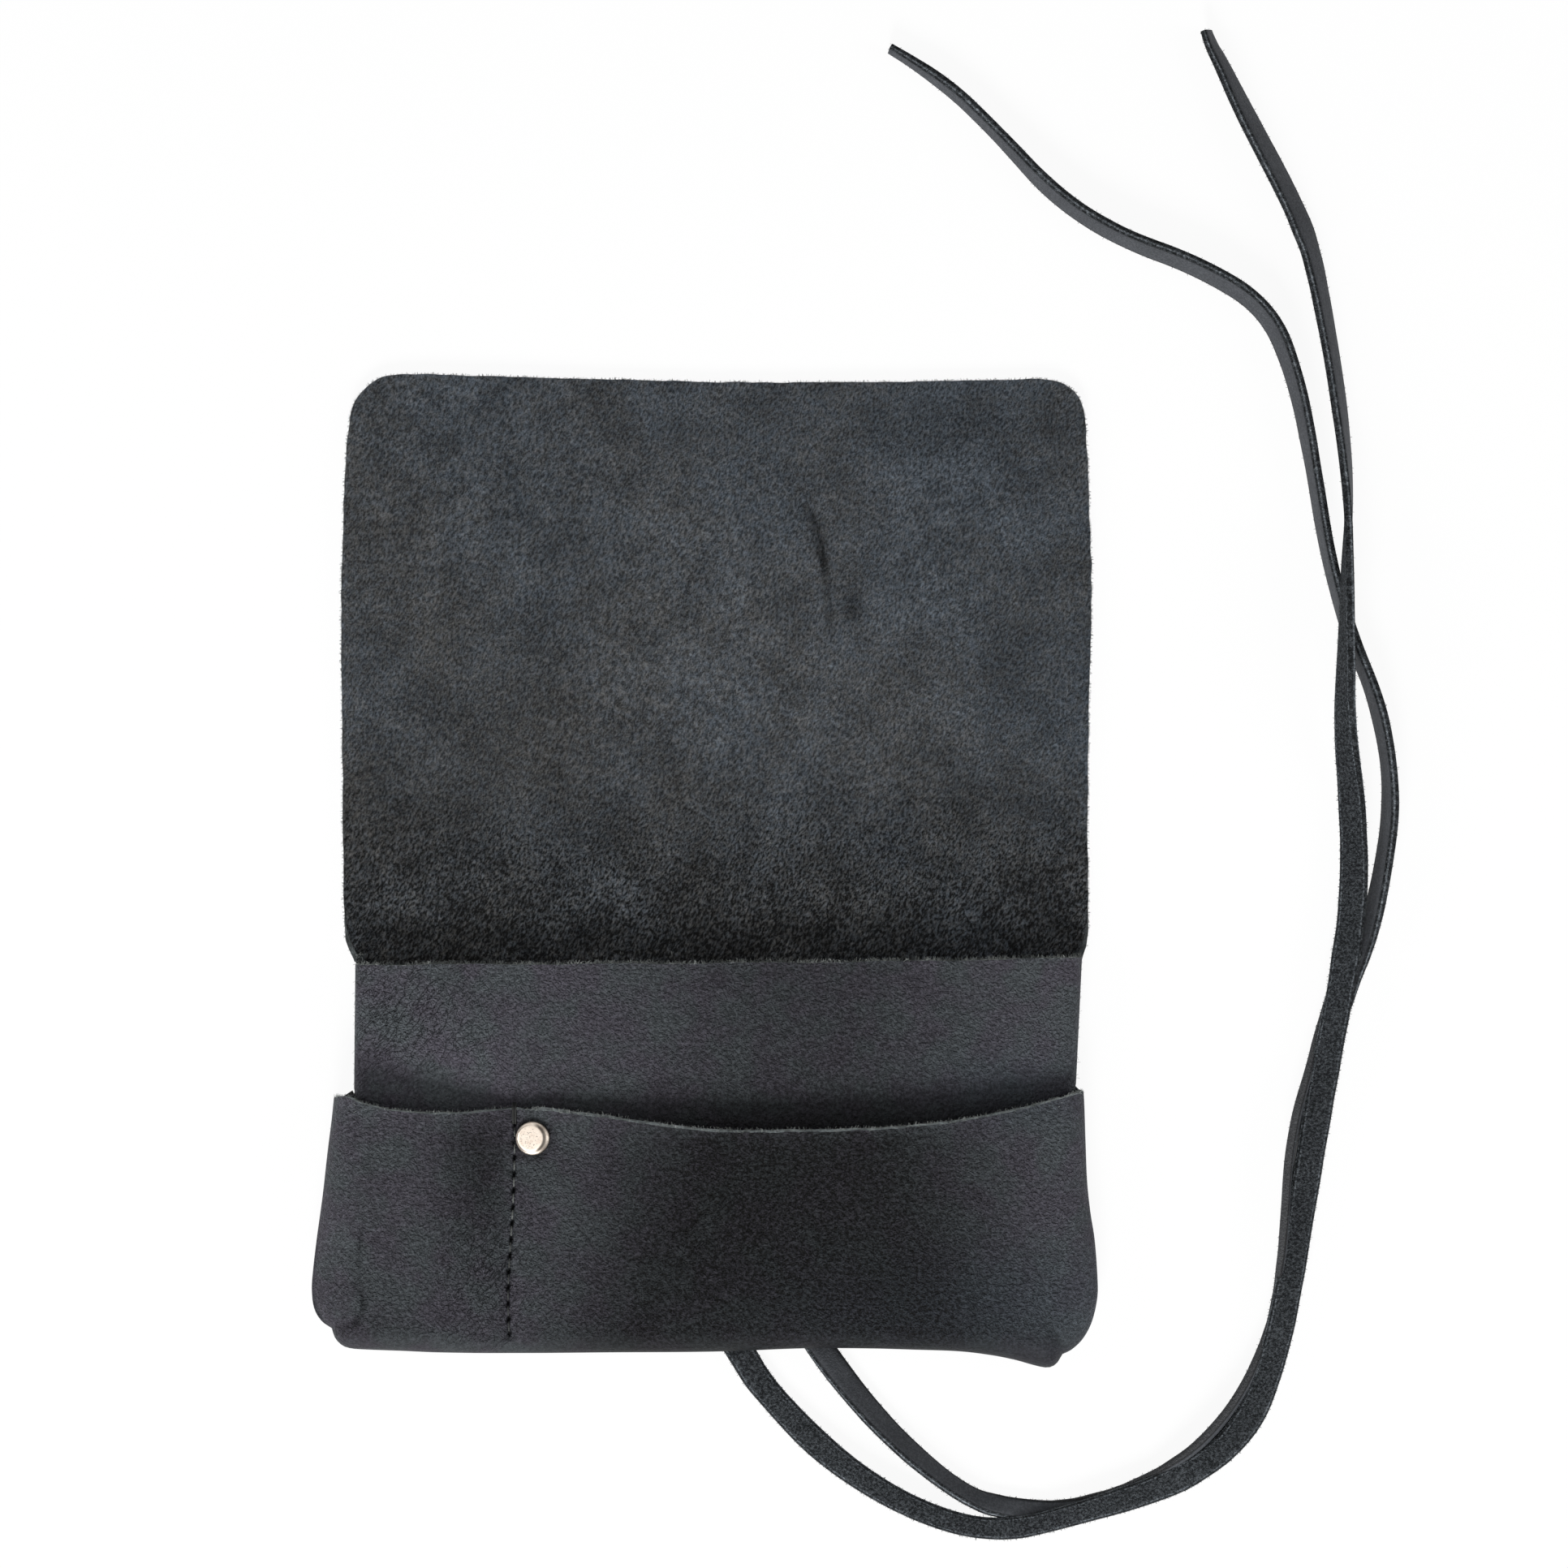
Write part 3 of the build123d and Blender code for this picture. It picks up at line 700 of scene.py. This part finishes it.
def fill(outline, spacing, extra=()):
    """Triangles that fill an outline, as flat points and faces."""
    low = outline.min(axis=0)
    high = outline.max(axis=0)
    xs = np.arange(low[0] + spacing / 2, high[0], spacing)
    ys = np.arange(low[1] + spacing / 2, high[1], spacing)
    grid = np.array([(x + (spacing / 2 if row % 2 else 0), y) for row, y in enumerate(ys) for x in xs])
    if len(extra):
        extra = np.array(extra)
        clear = np.array([((extra - spot) ** 2).sum(axis=1).min() for spot in grid]) > (0.6 * spacing) ** 2
        grid = np.vstack([grid[clear], extra])
    closed = np.vstack([outline, outline[:1]])
    grid = grid[gap_to(grid, closed) > clear_of_edge]
    everything = np.vstack([outline, grid])
    found = delaunay_2d_cdt([tuple(p) for p in everything], [], [list(range(len(outline)))], 1, 1e-5)
    return np.array([tuple(p) for p in found[0]]), [list(face) for face in found[2]]


def keep(piece, name, values):
    """Stores one number or one direction for each vertex of a piece."""
    kind, key = ("FLOAT", "value") if np.ndim(values) == 1 else ("FLOAT_VECTOR", "vector")
    piece.data.attributes.new(name, kind, "POINT").data.foreach_set(key, np.ravel(values))


def weld(name, parts, materials):
    """One mesh from several point and face lists, with doubles joined and its top face upwards."""
    points = []
    faces = []
    for some, more in parts:
        start = len(points)
        points.extend(np.asarray(some).tolist())
        faces.extend([[i + start for i in face] for face in more])
    piece = new_piece(name, points, faces, materials)
    work = bmesh.new()
    work.from_mesh(piece.data)
    bmesh.ops.remove_doubles(work, verts=work.verts, dist=0.004 * mm)
    bmesh.ops.recalc_face_normals(work, faces=work.faces)
    top = max(work.faces, key=lambda face: face.calc_center_median().z)
    if top.normal.z <= 0:
        bmesh.ops.reverse_faces(work, faces=work.faces)
    work.to_mesh(piece.data)
    work.free()
    keep(piece, "flat_place", [vertex.co for vertex in piece.data.vertices])
    return piece


def thicken(piece, thickness):
    """Gives a skin the hide's thickness, inwards, with its own cut edge and inner face."""
    solid = piece.modifiers.new("hide", "SOLIDIFY")
    solid.thickness = thickness * mm
    solid.offset = -1
    solid.use_quality_normals = True
    solid.material_offset = 2
    solid.material_offset_rim = 1
    mesh = settled(piece)
    piece.modifiers.clear()
    bare = piece.data
    piece.data = mesh
    bpy.data.meshes.remove(bare)
    mesh.name = piece.name
    mesh.set_sharp_from_angle(angle=math.radians(52))


seam_level = 4.4          # mid-height of the turned sides
panel_top = 8.8
valley_top = 10.7
bay_top = 15.6
divider_x = -49.0
pull_x = -43.9            # where the rivet pulls the pocket down
pull_y = -42.0
# Turned edge from the pocket's left corner, round the bottom to its right corner: x, y, and how far in from
# the edge the upper face starts to turn down.
turned_rows = [
    (-92.5, -32.4, 5.5), (-93.1, -38, 6), (-94.1, -45.7, 7), (-95.3, -56.1, 8.5), (-96.7, -66, 10.5),
    (-97.7, -74.1, 12.5), (-98.0, -79, 12.5), (-97.4, -83.4, 11.5), (-95.6, -86.5, 10), (-93.1, -88.3, 9),
    (-92.2, -90.6, 8), (-90.6, -92.3, 7.5), (-88.4, -93.1, 6.5), (-84.3, -93.4, 6), (-76, -93.7, 5.5),
    (-66.3, -94.1, 5), (-49, -94.3, 4.5), (-25, -94.1, 5), (-0.6, -93.9, 5), (21.2, -93.1, 5),
    (35.7, -93.1, 5), (47, -93.4, 5), (58.2, -93.8, 5), (65.9, -94.7, 5.5), (72, -95.9, 6),
    (77, -97.3, 6.5), (80, -97.8, 7), (81.9, -97.1, 7.5), (83.0, -95.7, 8), (83.7, -94.6, 8.5),
    (86.0, -93.4, 9.5), (88.7, -90.8, 10.5), (90.9, -86.7, 11.5), (92.2, -81.2, 12), (92.3, -76.5, 12),
    (91.6, -67, 10.5), (90.5, -60, 9), (89.7, -52.5, 8), (89.3, -43, 7), (89.0, -34.3, 6),
    (88.8, -31.0, 5.5),
]
left_notch = 9            # the two rows at which the edge turns sharply
right_notch = 29
turned = smooth_line(turned_rows, 1.15, (left_notch, right_notch))
edge_line = turned[:, :2]
on_side = ((edge_line[:, 0] < -92.0) | (edge_line[:, 0] > 84.5)).astype(float)
sink = 0.45 * soften(on_side, 2)     # the side seam draws the edge in


def left_of(line):
    """Directions square to a line, towards its left."""
    way = unit(np.gradient(line, axis=0))
    return np.stack([-way[:, 1], way[:, 0]], axis=1)


def eased(ways, reach):
    """Directions softened along their line."""
    return unit(np.stack([soften(ways[:, k], reach) for k in (0, 1)], axis=1))


inward = eased(left_of(edge_line), 7)

mouth_rows = [
    (-92.5, -32.4), (-90.4, -31.8), (-88.2, -31.9), (-85.5, -33.1), (-80.5, -34.5), (-73.3, -35.6),
    (-61, -35.9), (-49, -35.0), (-38, -35.6), (-26.1, -37.0), (-13, -38.9), (-0.6, -40.1), (13.9, -40.2),
    (28.4, -40.0), (42.9, -39.2), (57.5, -37.8), (72, -35.1), (80, -33.1), (86.5, -31.4), (88.8, -31.0),
]
mouth = smooth_line(mouth_rows, 1.0)
draw = np.random.default_rng(21)
mouth_wander = 0.13       # how far its raw edge strays
mouth[2:-2, 1] += mouth_wander * soften(draw.normal(0, 1, len(mouth) - 4), 1)


def mouth_y(x):
    """Where the pocket's mouth runs."""
    return np.interp(x, mouth[:, 0], mouth[:, 1])


def swell(x, y):
    """Outer level of the pocket: two bays either side of the stitched valley, which widens at the rivet."""
    x = np.asarray(x, float)
    y = np.asarray(y, float)
    foot_left = divider_x - 1.6 - 1.2 * np.exp(-((y - pull_y) / 9) ** 2)
    foot_right = divider_x + 1.8 + 7.8 * np.exp(-((y - pull_y) / 8) ** 2)
    left = (foot_left - x) / (foot_left + 106)
    right = (x - foot_right) / (100 - foot_right)
    part = np.where(x < foot_left, left, np.where(x > foot_right, right, 0))
    part = np.clip(part, 0, 1)
    bulge = (4 * part * (1 - part)) ** 0.85
    drape = 0.35 * np.sin(x / 23 + y / 31 + 1.0) + 0.22 * np.sin(x / 11 - y / 17)
    drape += 0.12 * np.sin(x / 6 + y / 9)
    low_front = 1 - 0.22 * np.exp(-((x - 14) / 40) ** 2 - ((y + 62) / 22) ** 2)
    return valley_top + (bay_top - valley_top - 0.9) * bulge * low_front + drape * np.minimum(1, part * 8)


def under(x, y):
    """Lower level of the back: flat on the table, with a low arch over the two laces at the bottom."""
    side = np.clip((41 - np.abs(np.asarray(x) + 2.9)) / 9, 0, 1)
    down = np.clip((-31 - np.asarray(y)) / 9, 0, 1)
    return 2.1 * (side * side * (3 - 2 * side)) * (down * down * (3 - 2 * down))


turns = np.radians([0, 5, 12, 22, 34, 47, 61, 76, 90])


def rolled(line, inner, depth, level, seam):
    """Band that rolls from the seam up or down to a face: a row along the line for each turn."""
    rows = []
    for turn in turns:
        flat = line + inner * (depth * (1 - math.cos(turn)))[:, None]
        flat = flat + inner * (seam * max(0.0, 1 - turn / turns[2]))[:, None]
        z = seam_level + (level(*(line + inner * depth[:, None]).T) - seam_level) * math.sin(turn)
        rows.append(np.column_stack([flat, z]))
    return np.array(rows)


def band(rows):
    """Points of a band, and the faces between its rows."""
    count, places = rows.shape[:2]
    faces = [(i * places + j, i * places + j + 1, (i + 1) * places + j + 1, (i + 1) * places + j)
             for i in range(count - 1) for j in range(places - 1)]
    return rows.reshape(-1, 3), faces


# The divider's awl holes, each pitch a little shorter than the one above it.
stitch_rows_y = [-38.5 - 4.04 * row + 0.011 * row ** 2 for row in range(14)]


def stitch_x(y):
    """The divider's stitching bows a little to the left on its way down."""
    return -48.5 - 1.6 * np.exp(-((np.asarray(y) + 81) / 20) ** 2)


front_band = rolled(edge_line, inward, turned[:, 2], swell, sink)
for end in (0, -1):      # both ends of the band are cut along the mouth
    shift = mouth_y(front_band[:, end, 0]) - front_band[:, end, 1]
    for step, share in enumerate((1, 0.95, 0.83, 0.67, 0.5, 0.33, 0.17, 0.05)):
        front_band[:, end - step if end else step, 1] += shift * share
inner_ring = front_band[-1][:, :2]
start = np.argmin(np.linalg.norm(mouth - inner_ring[0], axis=1))
stop = np.argmin(np.linalg.norm(mouth - inner_ring[-1], axis=1))
pocket_rim = mouth[start + 1:stop]
fine_points = [(stitch_x(y) + dx, y)
               for y in np.arange(-92.6, -37.2, 0.3) for dx in np.arange(-1.25, 1.26, 0.25)]
fine_points += [(x, y - below) for below in (0.5, 1.0, 1.6, 2.4, 3.4, 4.6) for x, y in pocket_rim]
# Soft creases where the pocket's bottom corners tuck in: how wide and how deep each one is, and its line.
crease_rows = [
    (0.9, 0.6, [(-84.6, -60), (-85.4, -69), (-85.5, -76), (-84.6, -81), (-86.2, -85), (-89.5, -87.2),
                (-93.1, -88.3)]),
    (0.8, 0.6, [(-93.1, -88.3), (-95.0, -86.0), (-96.3, -83.0), (-96.9, -80)]),
    (1.2, 0.8, [(83.7, -94.6), (82.9, -91.8), (81.4, -88.6), (79.8, -86.5)]),
    (0.8, 0.35, [(-75.2, -88), (-74.6, -90), (-73.2, -91.5)]),
]
crease_lines = [(width, depth, smooth_line(line, 1)) for width, depth, line in crease_rows]
for _, _, line in crease_lines:
    aside = np.gradient(line, axis=0)[:, ::-1] * (1, -1)
    fine_points += [tuple(spot) for off in (-2.1, -1.2, -0.5, 0.2, 0.9, 1.7) for spot in line + aside * off]
fine_points = [spot for spot in fine_points if abs(spot[0] + 3) < 89]
pocket_outline = np.vstack([inner_ring, pocket_rim[::-1]])
flat_points, pocket_faces = fill(pocket_outline, 2.0, fine_points)
pocket_points = np.column_stack([flat_points, swell(*flat_points.T)])

side_left = smooth_line([
    (-92.5, -32.4), (-90.2, -32.1), (-88.3, -31.8), (-87.6, -30.4), (-87.6, -15), (-87.4, 0), (-87.3, 2.0),
], 1.0)
side_right = smooth_line([
    (88.8, -31.0), (87.6, -30.4), (86.9, -28.5), (87.4, -15), (88.2, 0), (88.3, 2.0),
], 1.2)
back_line = np.vstack([side_left[::-1], edge_line[1:-1], side_right])
back_in = left_of(back_line)
shared = slice(len(side_left) - 1, len(side_left) - 1 + len(edge_line))
back_in[shared] = inward
back_in = eased(back_in, 2)
back_in[shared] = inward
side_turn = 3.9           # how far in from a side the hide starts to turn
back_depth = np.full(len(back_line), side_turn)
back_sink = np.full(len(back_line), 0.3)
back_sink[shared] = sink
lower_band = rolled(back_line, back_in, back_depth, under, back_sink)
back_outline = lower_band[-1][:, :2]
back_flat, back_faces = fill(back_outline, 3.5)
back_points = np.column_stack([back_flat, under(*back_flat.T)])

wrap = weld("wrap_hide", [
    band(front_band), (pocket_points, pocket_faces), band(lower_band), (back_points, back_faces),
], hide_finishes)
marks = places_of(wrap.data)
flat = marks[:, :2]
x, y, z = marks.T         # a change to z changes the marks
# The awl holes, the dent round the rivet and the creases: this mask sinks the hide there and is kept as
# painted shade.
recess_shade = np.zeros(len(marks))
for row_y in stitch_rows_y:
    down = y - row_y
    near = ((x - stitch_x(row_y) - 0.15 * down) / 0.50) ** 2 + (down / 1.0) ** 2
    recess_shade = np.maximum(recess_shade, np.exp(-near ** 1.5) * (z > seam_level))
groove = np.exp(-((x - stitch_x(y)) / 0.6) ** 2) * (z > seam_level) * (y > -93.2) * (y < -35)
lip = np.interp(x, (-91, -84, -55, -51, -46, -42, -30, 60, 80, 86),
                (0, 0.2, 0.3, 0.1, 0.1, 0.55, 0.45, 0.4, 0.35, 0))
lip = lip * (0.8 + 0.25 * np.sin(x / 1.3) * np.sin(x / 3.1))
lift = lip * np.exp(-gap_to(flat, mouth) / 1.2) * (z > panel_top)
dent = np.exp(-((np.hypot(x - pull_x, y - pull_y) - 4.2) / 0.7) ** 2) * (z > seam_level)
# The ring round the rivet is painted dark too, as the shade at the cap's foot.
recess_shade = np.maximum(recess_shade, 0.75 * dent)
for width, depth, line in crease_lines:
    away = gap_to(flat, line)
    ends = np.minimum(*[np.linalg.norm(flat - line[end], axis=1) for end in (0, -1)])
    firm = (z > seam_level) * np.clip(0.35 + ends / 9, 0, 1)
    z -= depth * np.exp(-(away / width) ** 2) * firm
    recess_shade = np.maximum(recess_shade, 0.55 * depth * np.exp(-(away / 0.55) ** 2) * firm)
shelf = np.clip((-85.0 - x) / 4, 0, 1) * np.clip((-60 - y) / 8, 0, 1) * np.clip((y + 90) / 5, 0, 1)
z -= 1.1 * shelf * (z > seam_level + 3)
z += lift - 0.9 * recess_shade * (dent < 0.3) - 0.2 * groove - 0.25 * dent
wrap.data.vertices.foreach_set("co", (marks * mm).ravel())
keep(wrap, "recess_shade", recess_shade)
thicken(wrap, hide)
for vertex in wrap.data.vertices:
    vertex.co.z = max(vertex.co.z, 0)
fuzz.grow(wrap, Density=6e6, Length=0.8 * mm, Width=0.07 * mm, Seed=4, Material=hide_fibre)
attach(wrap, "pouch")
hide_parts("back_panel", "outer_pocket")


# ---- Front panel ------------------------------------------------------------------------------------------
# A separate piece of the same hide closes the main compartment in front. Its sides turn down into the side
# seams, its top edge is left raw beside the fold, and its lower part runs on inside the pocket.
panel_width = 175
panel_foot = -86
hidden_from = 0.36        # share of its height below which the pocket covers it
end_steps = side_turn * (1 - np.cos(turns[:-1]))
panel_steps = np.concatenate([end_steps, np.linspace(side_turn, panel_width - side_turn, 86),
                              panel_width - end_steps[::-1]])
rows = []
for part in np.linspace(0, 1, 64):
    row = []
    tuck = 2.0 * np.clip((part - hidden_from) / 0.05, 0, 1)
    narrower = min(1, part / hidden_from)
    left_x = -87.4 - 0.3 * narrower + tuck
    right_x = 88.4 - 1.5 * narrower - tuck
    for step in panel_steps:
        share = step / panel_width
        x = left_x + (right_x - left_x) * share
        top_y = -0.3 + 0.5 * share + 1.2 * share ** 3 + 0.12 * math.sin(x / 5.5) + 0.06 * math.sin(x / 1.9)
        y = top_y + (panel_foot - top_y) * part
        edge_gap = min(share, 1 - share) * panel_width
        roll = math.sqrt(max(0.0, 1 - (1 - min(edge_gap / side_turn, 1)) ** 2))
        drape = 0.25 * math.sin(x / 27 + 0.6) + 0.15 * math.sin(x / 13 + y / 15)
        row.append((x, y, seam_level + (panel_top - seam_level + drape) * roll))
    rows.append(row)
panel = weld("front_panel_hide", [band(np.array(rows))], hide_finishes)
x, y, _ = places_of(panel.data).T
# Painted shadow on the panel above the pocket's mouth, where the lifted lip would shade it; weaker at the
# left.
painted_mouth_shadow = 0.62 * np.exp(-(np.maximum(y - mouth_y(x), 0) / 5.5) ** 1.6)      # above the pocket's mouth
keep(panel, "recess_shade", painted_mouth_shadow * np.interp(x, (-88, -70, -50, -40, 70, 86), (0.3, 0.3, 0.3, 0.8, 1, 0.6)))
thicken(panel, hide)
fuzz.grow(panel, Density=7e6, Length=1.0 * mm, Width=0.06 * mm, Seed=8, Material=hide_fibre)
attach(panel, "pouch")
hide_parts("front_panel")


# ---- Flap and its fold ------------------------------------------------------------------------------------
# The back's hide runs on past the fold as the flap, lying suede side up with rounded corners and cut edges.
# Its neck is a little narrower, where the side seams start and curl its edges up.
flap_rows = [
    (-86.4, 0.6), (-86.9, 2.0), (-88.2, 4.3), (-89.3, 7.1), (-90.0, 10.7), (-90.4, 15), (-90.6, 24),
    (-90.7, 45), (-90.9, 68), (-91.0, 88), (-90.6, 104), (-90.0, 120), (-89.2, 130), (-88.2, 134.6),
    (-86.0, 138.4), (-82.6, 141.3), (-78.4, 142.5), (-70, 142.5), (-50, 142.0), (-20, 141.2), (0, 140.8),
    (25, 140.6), (50, 140.9), (70, 141.3), (79.5, 141.4), (83.4, 140.6), (87.0, 137.9), (88.8, 134.4),
    (89.5, 128), (90.2, 112), (90.7, 98), (90.8, 86), (90.2, 62), (89.9, 40), (90.0, 22), (90.0, 12),
    (89.1, 7.0), (88.2, 4.0), (87.5, 2.2), (87.1, 0.6),
]
flap_edge = smooth_line(flap_rows, 1.0)
draw = np.random.default_rng(11)
ragged = 0.15 * soften(draw.normal(0, 1, len(flap_edge)), 1)      # how far its cut edge strays
flap_edge[:, 0] += ragged * np.sign(flap_edge[:, 0]) * (np.abs(flap_edge[:, 0]) > 85)
flap_edge[:, 1] += ragged * (flap_edge[:, 1] > 138)
split_y = 9.5             # where the neck ends and the flap starts
fold_y = flap_rows[0][1]
flap_top = hide + 0.04


def flap_level(x, y):
    """Upper level of the flap: nearly flat, with its neck's edges curled up at the side seams."""
    gap = gap_to(np.column_stack([x, y]), flap_edge)
    curl = 2.3 * np.exp(-gap / 1.9) * np.exp(-(np.maximum(y - 2, 0) / 7) ** 2)
    wave = 0.16 * (1 + np.sin(x / 29 + y / 37)) + 0.09 * (1 + np.sin(x / 14 - y / 19))
    return flap_top + curl + wave * np.clip((y - 12) / 30, 0, 1)


def crossing(after):
    """The x at which the outline crosses the split between two of its points."""
    near = flap_edge[after - 1:after + 1]
    near = near[np.argsort(near[:, 1])]
    return np.interp(split_y, near[:, 1], near[:, 0])


def straight(left, right, level):
    """A row of points across the hide."""
    return np.array([(x, level) for x in np.linspace(left, right, 150)])


cut_left = np.argmax(flap_edge[:, 1] > split_y)
cut_right = len(flap_edge) - np.argmax(flap_edge[::-1, 1] > split_y)
split = straight(crossing(cut_left), crossing(cut_right), split_y)
fold = straight(flap_rows[-1][0], flap_rows[0][0], fold_y)[1:-1]
neck_outline = np.vstack([flap_edge[:cut_left], split, flap_edge[cut_right:], fold])
free_outline = np.vstack([split[:1], flap_edge[cut_left:cut_right], split[::-1][:-1]])
bend_rows = [(x, y) for y in np.arange(14.0, 20.1, 0.75) for x in np.arange(-88.5, 88.6, 1.5)]
for name, outline, spacing, extra, nodes, bodies, bend_from, length in (
        ("flap_neck", neck_outline, 1.5, [], ("fold_spine",), ("pouch", "spine"), 2.0, 0.010),
        ("flap_hide", free_outline, 2.4, bend_rows, ("flap",), ("spine", "flap"), 15.0, 0.133)):
    flat, faces = fill(outline, spacing, extra)
    sheet = weld(name, [(np.column_stack([flat, flap_level(*flat.T)]), faces)],
                 [suede_leather, dark_edge, smooth_leather, dark_fibre])
    thicken(sheet, hide)
    fuzz.grow(sheet, Density=4e6, Length=0.55 * mm, Width=0.09 * mm, Seed=15, Material=dark_fibre)
    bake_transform(sheet)
    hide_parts(*nodes)


# ---- Rivet ------------------------------------------------------------------------------------------------
# A pressed metal cap, worn nickel with a warm tint, closes over a post through the pocket and the front panel
# at the top of the divider, where the pocket is pulled the most. Its flat sits a little askew.
rivet_x = -44.0
rivet_y = -41.95
metal = Finish("worn_nickel")
spot, x, y, _ = metal.place()
x = x - rivet_x
y = y - rivet_y
tarnish = metal.noise(spot, 1.6, 3, 0.6)
pitting = metal.noise(spot, 0.42, 2, 0.6)
from_middle = (x ** 2 + y ** 2) ** 0.5
from_flat = ((x + 0.85) ** 2 + (y - 0.1) ** 2) ** 0.5
# Painted shade: a dark crescent on the bevel's right side, a darker band past it and a darker outer rim, most
# on the right.
crescent = from_flat.band(2.85, 3.35, 3.55, 4.1) * x.step(-0.6, 1.6)
shaded = from_flat.step(3.5, 3.8) * x.step(0.6, 2.6)
rim = from_middle.step(3.72, 3.9) * (0.35 + 0.65 * x.step(-1.5, 2))
spots = pitting.step(0.56, 0.66) * (1 - from_flat.step(2.0, 2.9))
base = metal.blend(tarnish.step(0.35, 0.75), (0.86, 0.76, 0.66, 1), (0.66, 0.55, 0.46, 1))
base = metal.scale(base, (1 - 0.85 * crescent) * (1 - 0.6 * shaded) * (1 - 0.6 * spots) * (1 - 0.6 * rim))
rivet_metal = metal.finish(Base_Color=base, Metallic=1.0, Roughness=0.30 + 0.22 * tarnish + 0.2 * crescent,
                           Normal=metal.bump(pitting, 0.08, 0.5))
rivet_profile = [(0, 1.52), (1.6, 1.52), (2.6, 1.50), (2.95, 1.46), (3.12, 1.36), (3.3, 1.12), (3.55, 0.95),
                 (3.85, 0.75), (4.02, 0.45), (4.08, 0.1), (3.95, -0.12), (3.4, -0.18), (0, -0.18)]
around = 48
points = []
for radius, level in rivet_profile:
    askew = -0.75 * max(0.0, level) / 1.5
    for step in range(around):
        turn = 2 * math.pi * step / around
        points.append((rivet_x + askew + radius * math.cos(turn), rivet_y + radius * math.sin(turn),
                       valley_top - 0.1 + level))
cap = weld("rivet_cap_shell", [(points, tube_faces(len(rivet_profile), around))], [rivet_metal])
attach(cap, "pouch")
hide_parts("rivet_cap")


# ---- Divider stitching ------------------------------------------------------------------------------------
# Waxed grey-green thread in a saddle stitch holds the pocket to the front panel. Each stitch is a short round
# run of thread that dips into an awl hole at both ends, and the first one wraps over the pocket's raw mouth.
thread = Finish("waxed_thread")
spot, _, y, _ = thread.place()
twist = thread.noise(spot, 0.4, 2, 0.6)
base = thread.blend(twist.step(0.3, 0.7), (0.020, 0.022, 0.021, 1), (0.110, 0.116, 0.110, 1))
# Painted highlight: the thread is lighter along the row's middle stretch and dimmer towards its ends; it is
# darker still where it wraps over the mouth.
base = thread.scale(base, (0.35 + 0.85 * y.band(-74, -58, -44, -39)) * (1 - 0.75 * y.step(-40, -38)))
waxed_thread = thread.finish(Base_Color=base, Roughness=0.6, Specular_IOR_Level=0.3,
                             Normal=thread.bump(twist, 0.15, 0.6))

saddle = Growth("stitch_row", Length=float, Thread=float, Dip=float, Material=bpy.types.Material)
half = saddle.given("Length") * 0.5
dip = saddle.given("Dip")
stitch = saddle.strand(saddle.point(x=half * -1, z=dip * -1), saddle.point(z=dip),
                       saddle.point(x=half, z=dip * -1), saddle.given("Thread"), 8, 8)
way = saddle.node("GeometryNodeInputNamedAttribute", {"data_type": "FLOAT_VECTOR"}, Name="way")
turn = saddle.node("FunctionNodeAlignRotationToVector", {"axis": "X"}, Vector=way)
row = saddle.node("GeometryNodeInstanceOnPoints", Points=saddle.given("Geometry"), Instance=stitch,
                  Rotation=turn)
saddle.done(row, with_source=False)

stitch_sink = 0.1
sink_easing = 0.018       # each stitch lies that much less deep than the one above it
places = []
ways = []
for row, (above, below) in enumerate(zip(stitch_rows_y, stitch_rows_y[1:])):
    y = (above + below) / 2
    x = float(stitch_x(y))
    places.append((x, y, float(swell(x, y)) - stitch_sink + sink_easing * row))
    ways.append((float(stitch_x(y + 1) - stitch_x(y - 1)), 2.0, 0.0))
stitches = new_piece("divider_thread", places, [], [])
keep(stitches, "way", ways)
saddle.grow(stitches, Length=2.1 * mm, Thread=0.36 * mm, Dip=0.45 * mm, Material=waxed_thread)
stitches.data.polygons.foreach_set("use_smooth", [True] * len(stitches.data.polygons))
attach(stitches, "pouch")
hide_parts("divider_stitches")

top = float(swell(divider_x, -36))
over_mouth = [(-48.6, -38.4, top - 0.5), (-48.6, -37.9, top + 0.35), (-48.6, -36, top + 0.3),
              (-48.6, -34.7, top + 0.45), (-48.6, -34.0, top - 0.3), (-48.65, -33.6, panel_top - 0.4)]
both_strands = [[(x + aside, y, z) for x, y, z in over_mouth] for aside in (-0.28, 0.26)]
strands = smooth_curve("mouth_wrap", both_strands)
strands.bevel_depth = 0.27 * mm
strands.bevel_resolution = 3
strands.use_fill_caps = True
strands.materials.append(waxed_thread)
mouth_wrap = placed("mouth_wrap_thread", curve_mesh(strands))
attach(mouth_wrap, "pouch")


# ---- Hidden stitches, lace ends and the rivet's post ------------------------------------------------------
# The side seams and the lace ends are sewn inside the pouch with the same thread, and the rivet's post goes
# through both layers. They keep the shapes they already have and take the finishes of their like.
hidden = {
    "divider_understitches": waxed_thread,
    "left_seam_stitches": waxed_thread,
    "right_seam_stitches": waxed_thread,
    "lace_tack_stitches": waxed_thread,
    "rivet_post": rivet_metal,
    "outer_lace_root": smooth_leather,
    "inner_lace_root": smooth_leather,
}
for name, material in hidden.items():
    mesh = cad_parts[name].data
    mesh.materials.clear()
    mesh.materials.append(material)
